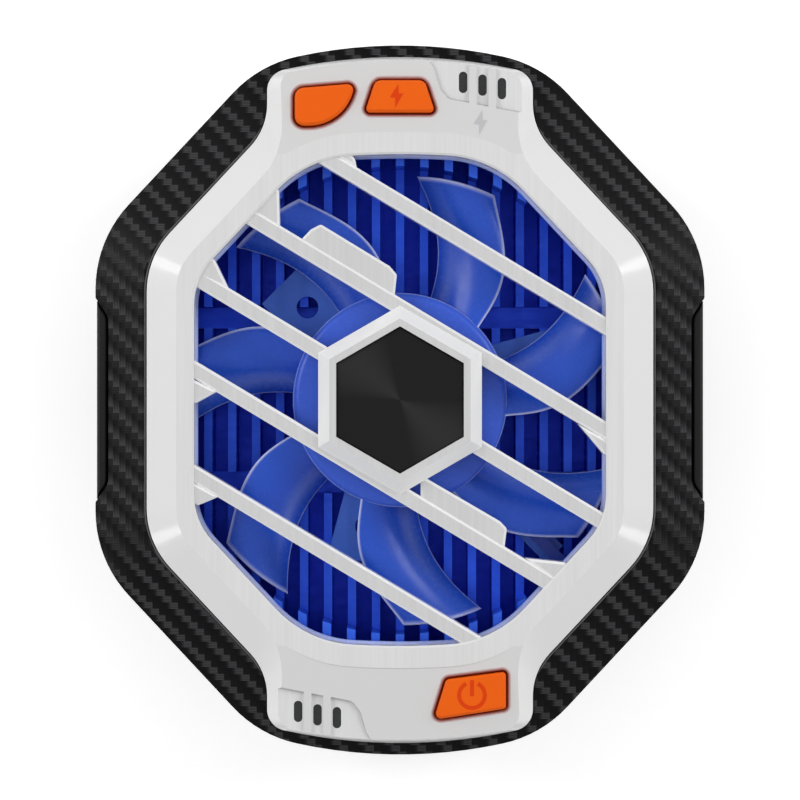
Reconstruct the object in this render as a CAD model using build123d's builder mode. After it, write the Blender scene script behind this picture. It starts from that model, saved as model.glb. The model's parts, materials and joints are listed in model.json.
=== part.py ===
from build123d import *
from math import acos, cos, pi, radians, sin, sqrt, tan
import os

# Phone cooling fan: a clip-on cooler with a cold plate at its back, a finned heatsink and a small fan
# behind a slanted grille.
# Frame: the fan looks up along +Z and the phone lies below. +X is the object's right and +Y its top as
# the fan is faced. The origin is on the fan's axis, in the plane that the jaw tips rest on.
# All sizes are millimetres, all angles degrees. A share is a fraction of the size that it follows.

# Clearances and small sizes used in more than one place
fit_gap = 0.05
running_gap = 0.04
slide_gap = 0.2
lid_gap = 0.1
frame_gap = 0.2
overrun = 5.0
same_place = 0.001

# Outer outline: an octagon with bowed top and bottom
corner_angle = 43.0
body_half_x = 37.0
body_diagonal = 40.3
body_crown_y = 43.08
body_top_radius = 59.0
body_side_round = 15.0
body_shoulder_round = 15.0

# Front frame outline: a narrower octagon with a tab at the top and the bottom
frame_half_x = 30.5
frame_diagonal = 34.0
frame_neck_x = 16.0
frame_crown_y = 41.3
frame_top_radius = 65.0
frame_side_round = 10.5
frame_neck_round = 7.5
frame_tab_round = 2.6
slope_run = 3.75
neck_slope_run = 2.0
end_slope_run = 0.8
slope_drop = 2.7
frame_plate = 1.6
frame_wall = 1.3
frame_skirt = 3.2
tab_fall = 0.6
band_width = 2.65
opening_chamfer = 0.25

# Opening in front of the fan
opening_half_x = 24.62
opening_diagonal = 27.87
opening_crown_y = 29.4
opening_top_radius = 97.0
opening_side_round = 8.0
opening_shoulder_round = 13.5

# Clamp jaws
lip_thickness = 2.2
lip_reach = 5.4
phone_gap = 9.2
jaw_half_y = 12.4
jaw_flush_y = 10.1
jaw_inset = 0.12
notch_depth = 1.65
notch_round = 2.0
notch_backing = 1.2
notch_backing_round = 0.6
notch_backing_overlap = 0.8
grip_wall = 2.4
jaw_top_drop = 0.2
jaw_edge_round = 0.4
jaw_pad_thickness = 1.1
jaw_pad_half_y = 9.0
jaw_pad_margin = 0.5
lip_round = 1.2
slider_thickness = 1.8
slider_neck_y = 10.6
slider_shoulder_x = 22.0
slider_bar = 4.5
slider_wing_y = 16.0
arm_width = 2.0
arm_end_x = 13.5
arm_link_x = 10.0
arm_bend_x = 14.5

# Rack and pinion that move the jaws together
tooth_module = 0.5
pinion_teeth = 12
pressure_angle = 25.0
tooth_backlash = 0.12
tooth_tip_gap = 0.16
pinion_y = 21.5
pin_radius = 1.1
rack_back_teeth = 2
rack_run_teeth = 8
flank_steps = 3
spring_wire = 0.45
spring_radius = 2.1
spring_pitch = 0.55
spring_turns = 2
spring_leg = 1.0

# Cold side
pad_thickness = 0.5
pad_proud = 0.8
pad_side = 38.0
flange_thickness = 1.0
flange_side = 40.0
plate_boss_side = 31.0
plate_boss_height = 1.5
plate_round = 3.0
module_side = 30.0
module_thickness = 3.6
module_plate = 0.8
pellet_rows = 5
pellet_side = 2.4

# Rear cover and the plate that holds the sliders in
cover_floor = 1.5
cover_height = 4.0
cover_draft_run = 2.2
cover_wall = 3.2
neck_slot_reach = 4.8
pin_seat = 0.5
retainer_thickness = 0.8
retainer_half_x = 27.2
retainer_low_y = 23.5
retainer_high_y = 32.0
retainer_round = 2.0
module_window_round = 1.5
boss_radius = 1.6
boss_clearance = 0.4

# Mid shell
shell_wall = 1.8
shell_edge_z = 32.6
shell_crest_rise = 2.4
shell_crest_run = 5.9
seat_ledge = 1.2
seat_ledge_height = 1.0
shell_lip = 0.15
vent_width = 1.4
vent_height = 9.0
vent_pitch = 2.4
vent_drop = 14.0
vent_diagonal_count = 6
vent_diagonal_shift = 5.6
vent_top_count = 9
vent_port_count = 3
vent_port_x = 7.2
vent_diagonal_cut = 2.7
vent_crown_cut = 4.5
mouth_cut = 5.4

# Heatsink
sink_half_x = 27.5
sink_half_y = 30.8
sink_diagonal = 36.5
sink_base = 2.5
short_fin = 6.5
pocket_depth = 6.2
fan_pocket_radius = 28.4
fin_pitch = 2.96
fin_width = 1.02
fins_each_side = 9
channel_y = 8.9
channel_width = 2.6
channel_rib = 3.5
lead_notch = 2.6

# Fan
motor_base_thickness = 1.0
motor_disc_radius = 11.0
arm_half_width = 3.65
arm_reach = 20.4
arm_hole_radius = 1.35
arm_hole_reach = 16.1
arm_first_angle = 15.0
arm_count = 3
tongue_angle = -45.0
tongue_half_width = 1.5
tongue_reach = 26.9
tongue_slot = 0.35
tongue_slot_start = 13.0
bearing_tube_radius = 3.4
bearing_radius = 2.5
bearing_tube_height = 3.6
shaft_radius = 1.0
shaft_seat = 0.5
shaft_cap = 0.4
bush_length = 3.4
rotor_gap = 0.6
rotor_height = 5.8
hub_radius = 13.0
hub_wall = 1.2
hub_round = 1.0
hub_boss_radius = 2.2
hub_boss_height = 1.3
blade_count = 7
blade_tip_radius = 27.4
blade_thickness = 0.8
blade_axis_angle = 66.0
magnet_wall = 1.5
magnet_height = 4.0
stator_radius = 9.7
stator_hub_radius = 5.6
stator_teeth = 6
stator_tooth_width = 2.0
stator_tip_depth = 1.2
stator_tip_width = 6.4
stator_height = 2.4
coil_wall = 0.7
coil_gap = 0.1
motor_board_thickness = 0.6
motor_board_radius = 10.2
lead_width = 1.4
lead_thickness = 0.4
lead_bend = 1.0
lead_shell_inset = 2.8
lead_turn_inset = 7.5
lead_turn_gap = 2.7
lead_board_overlap = 3.5
lead_board_inset = 1.8

# Shares of the blade tip radius: along the blade's axis, then across it to its leading and trailing edges
blade_shares = [
    (0.40, -0.182, 0.058),
    (0.547, -0.204, 0.073),
    (0.693, -0.195, 0.124),
    (0.839, -0.128, 0.226),
    (1.022, 0.0, 0.449),
]
# Shares of the rotor's height where the leading and trailing edges lie, at the blade's root and tip
leading_edge_shares = (0.96, 0.70)
trailing_edge_shares = (0.10, 0.24)
blade_camber_share = 0.12

# Grille
grille_gap = 0.8
bar_height = 2.8
bar_width = 1.89
bar_slant = -31.0
bar_recess = 0.3
bar_chamfer = 0.3
bar_first_offset = 9.55
bar_second_offset = 20.25
rim_wall = 1.2
plate_drop = 0.4
plate_thickness = 1.2
plate_corner = 0.5

# Hexagon collar and badge
collar_radius = 11.3
collar_land_radius = 9.71
collar_rise = 1.6
collar_wall = 1.2
badge_radius = 8.78
badge_thickness = 0.9
badge_sink = 0.4
badge_chamfer = 0.22

# Light ring
light_ring_height = 0.6
light_ring_gap = 0.7
light_ring_lip = 0.2
light_ring_reach = 1.5
light_board_width = 2.2
light_board_half_y = 9.6
light_board_thickness = 0.6
light_lamp_count = 4
light_lamp_pitch = 5.2
light_lamp_length = 1.6
light_lamp_depth = 0.9

# Buttons
button_gap = 0.25
button_flange = 0.4
button_flange_height = 0.5
button_play = 0.1
button_proud = 0.6
button_chamfer = 0.3
plunger_radius = 0.6
plunger_height = 1.2
switch_side = 3.4
switch_height = 1.2
switch_well_radius = 0.8
switch_well_depth = 0.9

# Indicator windows
window_width = 1.02
window_length = 2.56
window_count = 3
window_first_x = 7.56
window_pitch = 2.32
window_inset = 2.8
window_sink = 0.15
window_leg = 1.0
window_web_height = 0.5
window_web_margin = 0.3
recess_depth = 0.8
recess_wall_angle = 24.0
recess_round = 1.0
recess_rib = 0.91
indicator_lamp_side = 1.0
indicator_lamp_height = 0.6

# Boards under the tabs
board_thickness = 0.8
board_low_y = 31.1
board_high_y = 38.7
board_half_x = 13.2
board_corner = 2.0
board_drop = 4.3
board_boss_radius = 1.1
board_boss_x = 3.0
board_boss_inset = 1.2

# Main board and charging socket
main_board_half_x = 15.0
main_board_low_y = 32.4
main_board_high_y = 38.9
main_board_corner = 1.2
main_post_radius = 1.8
main_post_x = 12.6
main_post_y = 37.0
socket_width = 8.94
socket_height = 3.16
socket_length = 7.3
socket_wall = 0.3
socket_inset = 0.35
socket_tongue_width = 6.6
socket_tongue_thickness = 0.7
socket_tongue_inset = 1.0
chip_side = 3.6
chip_height = 0.9
chip_x = 7.4

# Posts and screws
case_post_x = 29.8
case_post_y = 22.0
case_post_radius = 1.9
sink_post_x = 18.0
sink_post_y = 29.2
low_boss_x = 22.0
low_boss_y = 20.0
high_boss_x = 20.0
high_boss_y = 22.0
crown_boss_x = 8.0
crown_boss_y = 29.8
screw_shank = 0.8
screw_head_radius = 1.5
screw_head_height = 0.9
case_screw_grip = 4.0
sink_screw_grip = 1.8
small_screw_shank = 0.6
small_screw_head_radius = 1.1
small_screw_head_height = 0.6
small_screw_grip = 1.8
drive_width_share = 0.35
drive_length_share = 1.3
drive_depth_share = 0.5

# Buttons and the sunken fields on the tabs: shares of the tab's half width, and of its reach past the
# opening
light_button_shares = [(-0.68, 0.285), (-0.785, 0.285), (-0.785, 0.655), (-0.35, 0.703), (-0.35, 0.635)]
light_button_bow_share = (-0.441, 0.418)
light_button_rounds = (1.1, 0.7)
boost_button_shares = [(-0.262, 0.416), (-0.183, 0.737), (0.183, 0.737), (0.262, 0.416)]
boost_button_rounds = (0.48, 0.95)
power_button_shares = [(0.253, -0.738), (0.79, -0.625), (0.79, -0.258), (0.345, -0.336)]
power_button_rounds = (0.6, 0.4)
recess_shares = [
    (0.19, 1.2), (0.19, 1.017), (0.259, 0.874), (0.305, 0.672), (0.366, 0.571),
    (0.892, 0.437), (1.06, 0.395), (1.06, 1.2),
]
# Middle of the switch under each button, in the same shares
switch_shares = [(-0.58, 0.5), (0.0, 0.58), (0.57, -0.49)]

# Plates beside the bars and webs in the sharp corners between bars and rim: shares of the opening's half
# width
plate_shares = [
    [(-0.51, 0.75), (-0.434, 0.83), (-0.385, 0.855), (-0.05, 0.651), (-0.015, 0.61), (-0.03, 0.47)],
    [(0.1, -0.365), (0.488, -0.591), (0.52, -0.625), (0.504, -0.755), (0.1, -0.515)],
]
web_shares = [
    [(-0.21, 1.13), (-0.219, 1.171), (-0.35, 1.34), (-0.6, 1.34)],
    [(-0.584, 0.837), (-0.588, 1.019), (-0.8, 1.15), (-0.95, 1.05)],
    [(-0.834, 0.544), (-0.9, 0.68), (-1.1, 0.8), (-1.1, 0.65)],
    [(-0.89, 0.041), (-0.991, -0.015), (-1.1, 0.0), (-1.1, 0.15)],
    [(-0.88, -0.47), (-0.981, -0.512), (-1.1, -0.45), (-1.1, -0.35)],
    [(0.865, -0.116), (0.989, -0.262), (1.1, -0.3), (1.1, -0.25)],
    [(0.608, -0.769), (0.8, -0.789), (0.95, -0.9), (0.85, -0.95)],
]

# Levels, worked out upwards from the jaw tips
pad_z = lip_thickness + phone_gap
flange_z = pad_z + pad_thickness
plate_boss_z = flange_z + flange_thickness
module_z = plate_boss_z + plate_boss_height
sink_z = module_z + module_thickness
cover_z = pad_z + pad_proud
cover_floor_z = cover_z + cover_floor
split_z = cover_z + cover_height
head_seat_z = cover_z + screw_head_height + lid_gap
slider_z = cover_floor_z + slide_gap
slider_top_z = slider_z + slider_thickness
retainer_z = slider_top_z + slide_gap
retainer_top_z = retainer_z + retainer_thickness
fin_floor_z = sink_z + sink_base
fan_seat_z = fin_floor_z + short_fin
fin_top_z = fan_seat_z + pocket_depth
motor_top_z = fan_seat_z + motor_base_thickness
motor_board_top_z = motor_top_z + motor_board_thickness
stator_z = motor_board_top_z + coil_wall + coil_gap
rotor_z = motor_top_z + rotor_gap
rotor_top_z = rotor_z + rotor_height
hub_plate_z = rotor_top_z - hub_wall
bar_z = rotor_top_z + grille_gap
bar_top_z = bar_z + bar_height
frame_top_z = bar_top_z + bar_recess
frame_edge_z = frame_top_z - slope_drop
frame_under_z = frame_top_z - frame_plate
seat_z = frame_edge_z - frame_skirt
shell_top_z = shell_edge_z + shell_crest_rise
light_ring_z = fin_top_z + light_ring_gap
rim_z = light_ring_z + light_ring_height
collar_top_z = bar_top_z + collar_rise
badge_z = collar_top_z - badge_sink - badge_thickness
board_top_z = frame_top_z - board_drop
board_z = board_top_z - board_thickness
flange_top_z = frame_under_z - button_play
plunger_top_z = flange_top_z - button_flange_height
recess_z = frame_top_z - recess_depth
window_web_z = frame_under_z - window_web_height
window_foot_z = window_web_z - window_leg
roof_z = seat_z - seat_ledge_height
jaw_top_z = shell_edge_z - jaw_top_drop
jaw_body_top_z = cover_z - slide_gap
main_board_top_z = motor_top_z
main_board_z = main_board_top_z - board_thickness
socket_mid_z = main_board_z - socket_height / 2
vent_mid_z = shell_edge_z - vent_drop + vent_height / 2

# Sizes and places that follow from others
pitch_radius = tooth_module * pinion_teeth / 2
tooth_pitch = pi * tooth_module
tooth_tip = tooth_module - tooth_tip_gap / 2
tooth_root = tooth_module + tooth_tip_gap
half_tooth = (tooth_pitch - tooth_backlash) / 4
notch_x = body_half_x - notch_depth
wall_x = notch_x + slide_gap
grip_x = body_half_x - grip_wall
slider_inner_x = slider_shoulder_x - slider_bar
tab_span = frame_crown_y - opening_crown_y
stator_tip_radius = stator_radius - stator_tip_depth
magnet_radius = hub_radius - hub_wall
magnet_bore = magnet_radius - magnet_wall
small_bosses = [
    (-low_boss_x, -low_boss_y), (low_boss_x, -low_boss_y),
    (-high_boss_x, high_boss_y), (crown_boss_x, crown_boss_y),
]
case_posts = [(x, y) for x in (-case_post_x, case_post_x) for y in (-case_post_y, case_post_y)]
sink_posts = [(x, y) for x in (-sink_post_x, sink_post_x) for y in (-sink_post_y, sink_post_y)]
main_posts = [(-main_post_x, -main_post_y), (main_post_x, -main_post_y)]
board_boss_y = board_low_y + board_boss_inset


# Outlines that several pieces share

def diagonal_corner(half_x, diagonal):
    """Where a vertical side at half_x meets the diagonal side."""
    return half_x, (diagonal - half_x * cos(radians(corner_angle))) / sin(radians(corner_angle))


def shoulder_corner(diagonal, crown_y, top_radius):
    """Where the diagonal side meets the bowed top."""
    normal = Vector(cos(radians(corner_angle)), sin(radians(corner_angle)))
    along = Vector(-normal.Y, normal.X)
    to_foot = normal * diagonal - Vector(0, crown_y - top_radius)
    half_b = to_foot.dot(along)
    reach = sqrt(half_b**2 - to_foot.dot(to_foot) + top_radius**2) - half_b
    corner = normal * diagonal + along * reach
    return corner.X, corner.Y


def arc_y(x, crown_y, radius):
    """Height at x of an arc that crowns at crown_y on the middle line."""
    return crown_y - radius + sqrt(radius**2 - x**2)


def four_fold(z, quarter, rounds, crown_y):
    """Closed outline alike in all four quarters, bowed at top and bottom, its corners rounded."""
    left = [(-x, y) for x, y in reversed(quarter)]
    low_left = [(x, -y) for x, y in reversed(left)]
    low_right = [(-x, y) for x, y in reversed(low_left)]
    with BuildSketch(Plane.XY.offset(z)) as outline:
        with BuildLine():
            Polyline(*quarter)
            ThreePointArc(quarter[-1], (0, crown_y), left[0])
            Polyline(*left)
            Line(left[-1], low_left[0])
            Polyline(*low_left)
            ThreePointArc(low_left[-1], (0, -crown_y), low_right[0])
            Polyline(*low_right)
            Line(low_right[-1], quarter[0])
        make_face()
        for (x, y), radius in zip(quarter, rounds):
            corners = [
                v for v in outline.vertices()
                if abs(abs(v.X) - x) < same_place and abs(abs(v.Y) - y) < same_place
            ]
            fillet(corners, radius)
    return outline.sketch


def body_outline(z, inset):
    """Outer outline of the body, drawn in by inset."""
    diagonal = body_diagonal - inset
    crown_y = body_crown_y - inset
    quarter = [
        diagonal_corner(body_half_x - inset, diagonal),
        shoulder_corner(diagonal, crown_y, body_top_radius - inset),
    ]
    return four_fold(z, quarter, [body_side_round - inset, body_shoulder_round - inset], crown_y)


def opening_outline(z, grow):
    """Outline of the opening in front of the fan, let out by grow."""
    diagonal = opening_diagonal + grow
    crown_y = opening_crown_y + grow
    quarter = [
        diagonal_corner(opening_half_x + grow, diagonal),
        shoulder_corner(diagonal, crown_y, opening_top_radius + grow),
    ]
    return four_fold(z, quarter, [opening_side_round + grow, opening_shoulder_round + grow], crown_y)


def frame_outline(z, run, neck_run, end_run):
    """Front frame's outline, drawn in by run, by neck_run beside the tabs and by end_run at their ends."""
    diagonal = frame_diagonal - run
    neck_x, neck_y = diagonal_corner(frame_neck_x - neck_run, diagonal)
    crown_y = frame_crown_y - end_run
    quarter = [
        diagonal_corner(frame_half_x - run, diagonal),
        (neck_x, neck_y),
        (neck_x, arc_y(neck_x, crown_y, frame_top_radius - end_run)),
    ]
    rounds = [frame_side_round - run, frame_neck_round + neck_run, frame_tab_round - end_run]
    return four_fold(z, quarter, rounds, crown_y)


def inner_frame_outline(z, wall):
    """Outline inside the front frame's skirt, a wall in from its outside."""
    return frame_outline(z, wall, wall, wall)


def slope_outline(z):
    """Front frame's outline at the top of its slope."""
    return frame_outline(z, slope_run, neck_slope_run, end_slope_run)


def sink_outline(z):
    """Rectangle of the heatsink with its corners cut to follow the body's diagonals."""
    side_x, side_y = diagonal_corner(sink_half_x, sink_diagonal)
    end_x = (sink_diagonal - sink_half_y * sin(radians(corner_angle))) / cos(radians(corner_angle))
    right = [(end_x, -sink_half_y), (side_x, -side_y), (side_x, side_y), (end_x, sink_half_y)]
    left = [(-x, y) for x, y in reversed(right)]
    with BuildSketch(Plane.XY.offset(z)) as outline:
        with BuildLine():
            Polyline(*right, *left, close=True)
        make_face()
    return outline.sketch


def box_on(z, half_x, low_y, high_y, corner):
    """Rectangle from low_y to high_y with rounded corners."""
    with BuildSketch(Plane.XY.offset(z)) as outline:
        with Locations((0, (low_y + high_y) / 2)):
            RectangleRounded(half_x * 2, high_y - low_y, corner)
    return outline.sketch


def square_on(z, side, corner):
    """Square with rounded corners."""
    with BuildSketch(Plane.XY.offset(z)) as outline:
        RectangleRounded(side, side, corner)
    return outline.sketch


def discs_on(z, spots, radius):
    """Equal discs at a list of places."""
    with BuildSketch(Plane.XY.offset(z)) as outline:
        with Locations(*spots):
            Circle(radius)
    return outline.sketch


def hexagon_on(z, radius):
    """Hexagon with a corner at its top."""
    with BuildSketch(Plane.XY.offset(z)) as outline:
        RegularPolygon(radius, 6, rotation=30)
    return outline.sketch


def polygon_on(z, points):
    """Closed outline through a list of points."""
    with BuildSketch(Plane.XY.offset(z)) as outline:
        with BuildLine():
            Polyline(*points, close=True)
        make_face()
    return outline.sketch


def jaw_plan(z, side, inner_x, reach_x, clearance):
    """Plan with slanted ends: the notch in the body's side, or the jaw wall that lies in it."""
    slant = (jaw_half_y - jaw_flush_y) / notch_depth
    inner_y = jaw_half_y - (body_half_x - inner_x) * slant - clearance
    reach_y = jaw_half_y + (reach_x - body_half_x) * slant - clearance
    corners = [(inner_x, inner_y), (reach_x, reach_y), (reach_x, -reach_y), (inner_x, -inner_y)]
    with BuildSketch(Plane.XY.offset(z)) as outline:
        with BuildLine():
            Polyline(*[(side * x, y) for x, y in corners], close=True)
        make_face()
        fillet([v for v in outline.vertices() if abs(abs(v.X) - inner_x) < same_place], notch_round)
    return outline.sketch


def side_block(z, side, inner_x, outer_x, half_y, corner):
    """Rectangle at one side of the body, its two inner corners rounded."""
    with BuildSketch(Plane.XY.offset(z)) as outline:
        with Locations((side * (inner_x + outer_x) / 2, 0)):
            Rectangle(outer_x - inner_x, half_y * 2)
        fillet([v for v in outline.vertices() if abs(abs(v.X) - inner_x) < same_place], corner)
    return outline.sketch


def socket_outline(y, width, height):
    """Upright rounded mouth of the charging socket, in the plane at y."""
    with BuildSketch(Plane((0, y, socket_mid_z), x_dir=(1, 0, 0), z_dir=(0, 1, 0))) as outline:
        SlotOverall(width, height)
    return outline.sketch


# Outlines on the tabs

def tab_point(share):
    """Place on a tab, from a share of its half width and a share of its reach past the opening."""
    x, y = share
    side = 1 if y > 0 else -1
    return x * frame_neck_x, side * (opening_crown_y + abs(y) * tab_span)


def light_button_outline(z, grow):
    """Leaf shape with a bowed lower right side, let out by grow."""
    points = [tab_point(share) for share in light_button_shares]
    near_round, far_round = light_button_rounds
    with BuildSketch(Plane.XY.offset(z)) as outline:
        with BuildLine():
            Polyline(*points)
            ThreePointArc(points[-1], tab_point(light_button_bow_share), points[0])
        make_face()
        fillet(outline.vertices().group_by(Axis.X)[0], near_round)
        fillet(outline.vertices().sort_by(Axis.Y)[-1], far_round)
        offset(amount=grow, kind=Kind.INTERSECTION)
    return outline.sketch


def flat_button_outline(z, shares, rounds, grow):
    """Four-cornered button, its first and last corners with one round and the others with another."""
    points = [tab_point(share) for share in shares]
    end_round, middle_round = rounds
    with BuildSketch(Plane.XY.offset(z)) as outline:
        with BuildLine():
            Polyline(*points, close=True)
        make_face()
        for point, radius in zip(points, (end_round, middle_round, middle_round, end_round)):
            corner = Vector(*point)
            near = [v for v in outline.vertices() if (Vector(v.X, v.Y) - corner).length < same_place]
            fillet(near, radius)
        offset(amount=grow, kind=Kind.INTERSECTION)
    return outline.sketch


def boost_button_outline(z, grow):
    return flat_button_outline(z, boost_button_shares, boost_button_rounds, grow)


def power_button_outline(z, grow):
    return flat_button_outline(z, power_button_shares, power_button_rounds, grow)


def window_places(side):
    """Middles of a tab's window slots, a fixed distance inside its bowed end."""
    spots = [window_first_x + window_pitch * i for i in range(window_count)]
    crown_y = frame_crown_y - window_inset
    return [(side * x, side * arc_y(x, crown_y, frame_top_radius - window_inset)) for x in spots]


def windows_on(z, side):
    """The upright slots of one tab."""
    with BuildSketch(Plane.XY.offset(z)) as outline:
        with Locations(*window_places(side)):
            SlotOverall(window_length, window_width, rotation=90)
    return outline.sketch


def window_web_on(z, side):
    """Flange that joins one tab's window blocks: the hull of their slots, let out by a margin."""
    with BuildSketch(Plane.XY.offset(z)) as outline:
        with Locations(*window_places(side)):
            SlotOverall(
                window_length + window_web_margin * 2, window_width + window_web_margin * 2, rotation=90,
            )
        make_hull()
    return outline.sketch


def recess_cutter(side):
    """Cutter for the sunken field round a tab's windows: sloping walls, ribs left between the slots."""
    points = [(side * x, side * y) for x, y in [tab_point(share) for share in recess_shares]]
    rib_spots = [window_first_x + window_pitch * (i + 0.5) for i in range(window_count - 1)]
    with BuildPart() as cutter:
        with BuildSketch(Plane.XY.offset(recess_z)) as field:
            with BuildLine():
                Polyline(*points, close=True)
            make_face()
            for x, y in (points[2], points[4]):
                near = [v for v in field.vertices() if abs(v.X - x) + abs(v.Y - y) < same_place]
                fillet(near, recess_round)
        extrude(amount=recess_depth, taper=-recess_wall_angle)
        with BuildSketch(Plane.XY.offset(recess_z)):
            with Locations(*[(side * x, side * frame_crown_y) for x in rib_spots]):
                Rectangle(recess_rib, tab_span * 2)
        extrude(amount=recess_depth, mode=Mode.SUBTRACT)
    return cutter.part


def tab_fall_cutter(side):
    """Wedge that tilts a tab down towards its end, clear of the level band round the opening."""
    with BuildPart() as cutter:
        with BuildSketch(Plane.YZ.offset(-body_half_x)):
            with BuildLine():
                Polyline(
                    (side * opening_crown_y, frame_top_z),
                    (side * body_crown_y, frame_top_z),
                    (side * body_crown_y, frame_top_z - tab_fall),
                    close=True,
                )
            make_face()
        extrude(amount=body_half_x * 2)
        extrude(opening_outline(frame_top_z - tab_fall, band_width), amount=tab_fall, mode=Mode.SUBTRACT)
    return cutter.part


# Front frame: white bezel with its two tabs, open over the fan

tab_cutters = [recess_cutter(side) for side in (1, -1)] + [tab_fall_cutter(side) for side in (1, -1)]

with BuildPart() as front_frame:
    extrude(frame_outline(seat_z, 0, 0, 0), amount=frame_skirt)
    loft([frame_outline(frame_edge_z, 0, 0, 0), slope_outline(frame_top_z)], ruled=True)
    add(tab_cutters, mode=Mode.SUBTRACT)
    # Hollow below the plate, its walls leaning in with the slope
    extrude(inner_frame_outline(seat_z, frame_wall), amount=frame_skirt - frame_wall, mode=Mode.SUBTRACT)
    loft(
        [inner_frame_outline(frame_edge_z - frame_wall, frame_wall), slope_outline(frame_under_z)],
        ruled=True, mode=Mode.SUBTRACT,
    )
    extrude(opening_outline(frame_under_z, 0), amount=frame_plate, mode=Mode.SUBTRACT)
    loft(
        [opening_outline(frame_top_z - opening_chamfer, 0), opening_outline(frame_top_z, opening_chamfer)],
        ruled=True, mode=Mode.SUBTRACT,
    )
    for outline_of in (light_button_outline, boost_button_outline, power_button_outline):
        extrude(outline_of(frame_under_z, button_gap), amount=frame_plate, mode=Mode.SUBTRACT)
    for side in (1, -1):
        extrude(windows_on(frame_under_z, side), amount=frame_plate, mode=Mode.SUBTRACT)
        # Screw bosses that carry the tab's board
        spots = [(-board_boss_x, side * board_boss_y), (board_boss_x, side * board_boss_y)]
        extrude(discs_on(board_top_z, spots, board_boss_radius), amount=frame_under_z - board_top_z)
        thread = discs_on(board_top_z, spots, small_screw_shank)
        extrude(thread, amount=small_screw_grip, mode=Mode.SUBTRACT)

# Grille: slanted bars and a hexagon collar on a rim that lies under the frame


def grille_block(z, shares, height, corner_radius):
    """Flat block beside the bars, its upper edges bevelled as theirs are."""
    points = [(x * opening_half_x, y * opening_half_x) for x, y in shares]
    with BuildPart() as block:
        extrude(polygon_on(z, points), amount=height)
        if corner_radius:
            fillet(block.edges().filter_by(Axis.Z), corner_radius)
        chamfer(block.edges().group_by(Axis.Z)[-1], bar_chamfer)
    return block.part


plate_z = bar_top_z - plate_drop - plate_thickness
grille_blocks = [grille_block(plate_z, shares, plate_thickness, plate_corner) for shares in plate_shares]
grille_blocks += [grille_block(bar_z, shares, bar_height, 0) for shares in web_shares]

with BuildPart() as grille:
    with BuildSketch(Plane.XY.offset(bar_z)):
        for bar_offset in (-bar_second_offset, -bar_first_offset, 0, bar_first_offset, bar_second_offset):
            across = Vector(0, bar_offset).rotate(Axis.Z, bar_slant)
            with Locations((across.X, across.Y)):
                Rectangle(body_crown_y * 2, bar_width, rotation=bar_slant)
    extrude(amount=bar_height)
    top_edges = grille.edges().group_by(Axis.Z)[-1]
    chamfer(top_edges.filter_by(lambda e: e.length > body_crown_y), bar_chamfer)
    add(grille_blocks)
    extrude(hexagon_on(bar_z, collar_radius), amount=bar_height)
    extrude(opening_outline(bar_z, 0), amount=bar_height, mode=Mode.INTERSECT)
    with BuildSketch(Plane.XY.offset(rim_z)):
        add(opening_outline(0, rim_wall))
        add(opening_outline(0, 0), mode=Mode.SUBTRACT)
    extrude(amount=frame_under_z - rim_z)
    loft([hexagon_on(bar_top_z, collar_radius), hexagon_on(collar_top_z, collar_land_radius)], ruled=True)
    extrude(hexagon_on(badge_z, badge_radius), amount=collar_top_z - badge_z, mode=Mode.SUBTRACT)
    hollow_height = badge_z - collar_wall - bar_z
    extrude(hexagon_on(bar_z, collar_radius - collar_wall), amount=hollow_height, mode=Mode.SUBTRACT)

# Badge: dark hexagon plate let into the collar

with BuildPart() as hub_badge:
    extrude(hexagon_on(badge_z, badge_radius), amount=badge_thickness)
    chamfer(hub_badge.edges().group_by(Axis.Z)[-1], badge_chamfer)

# Mid shell: patterned ring between the rear cover and the front frame

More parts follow.
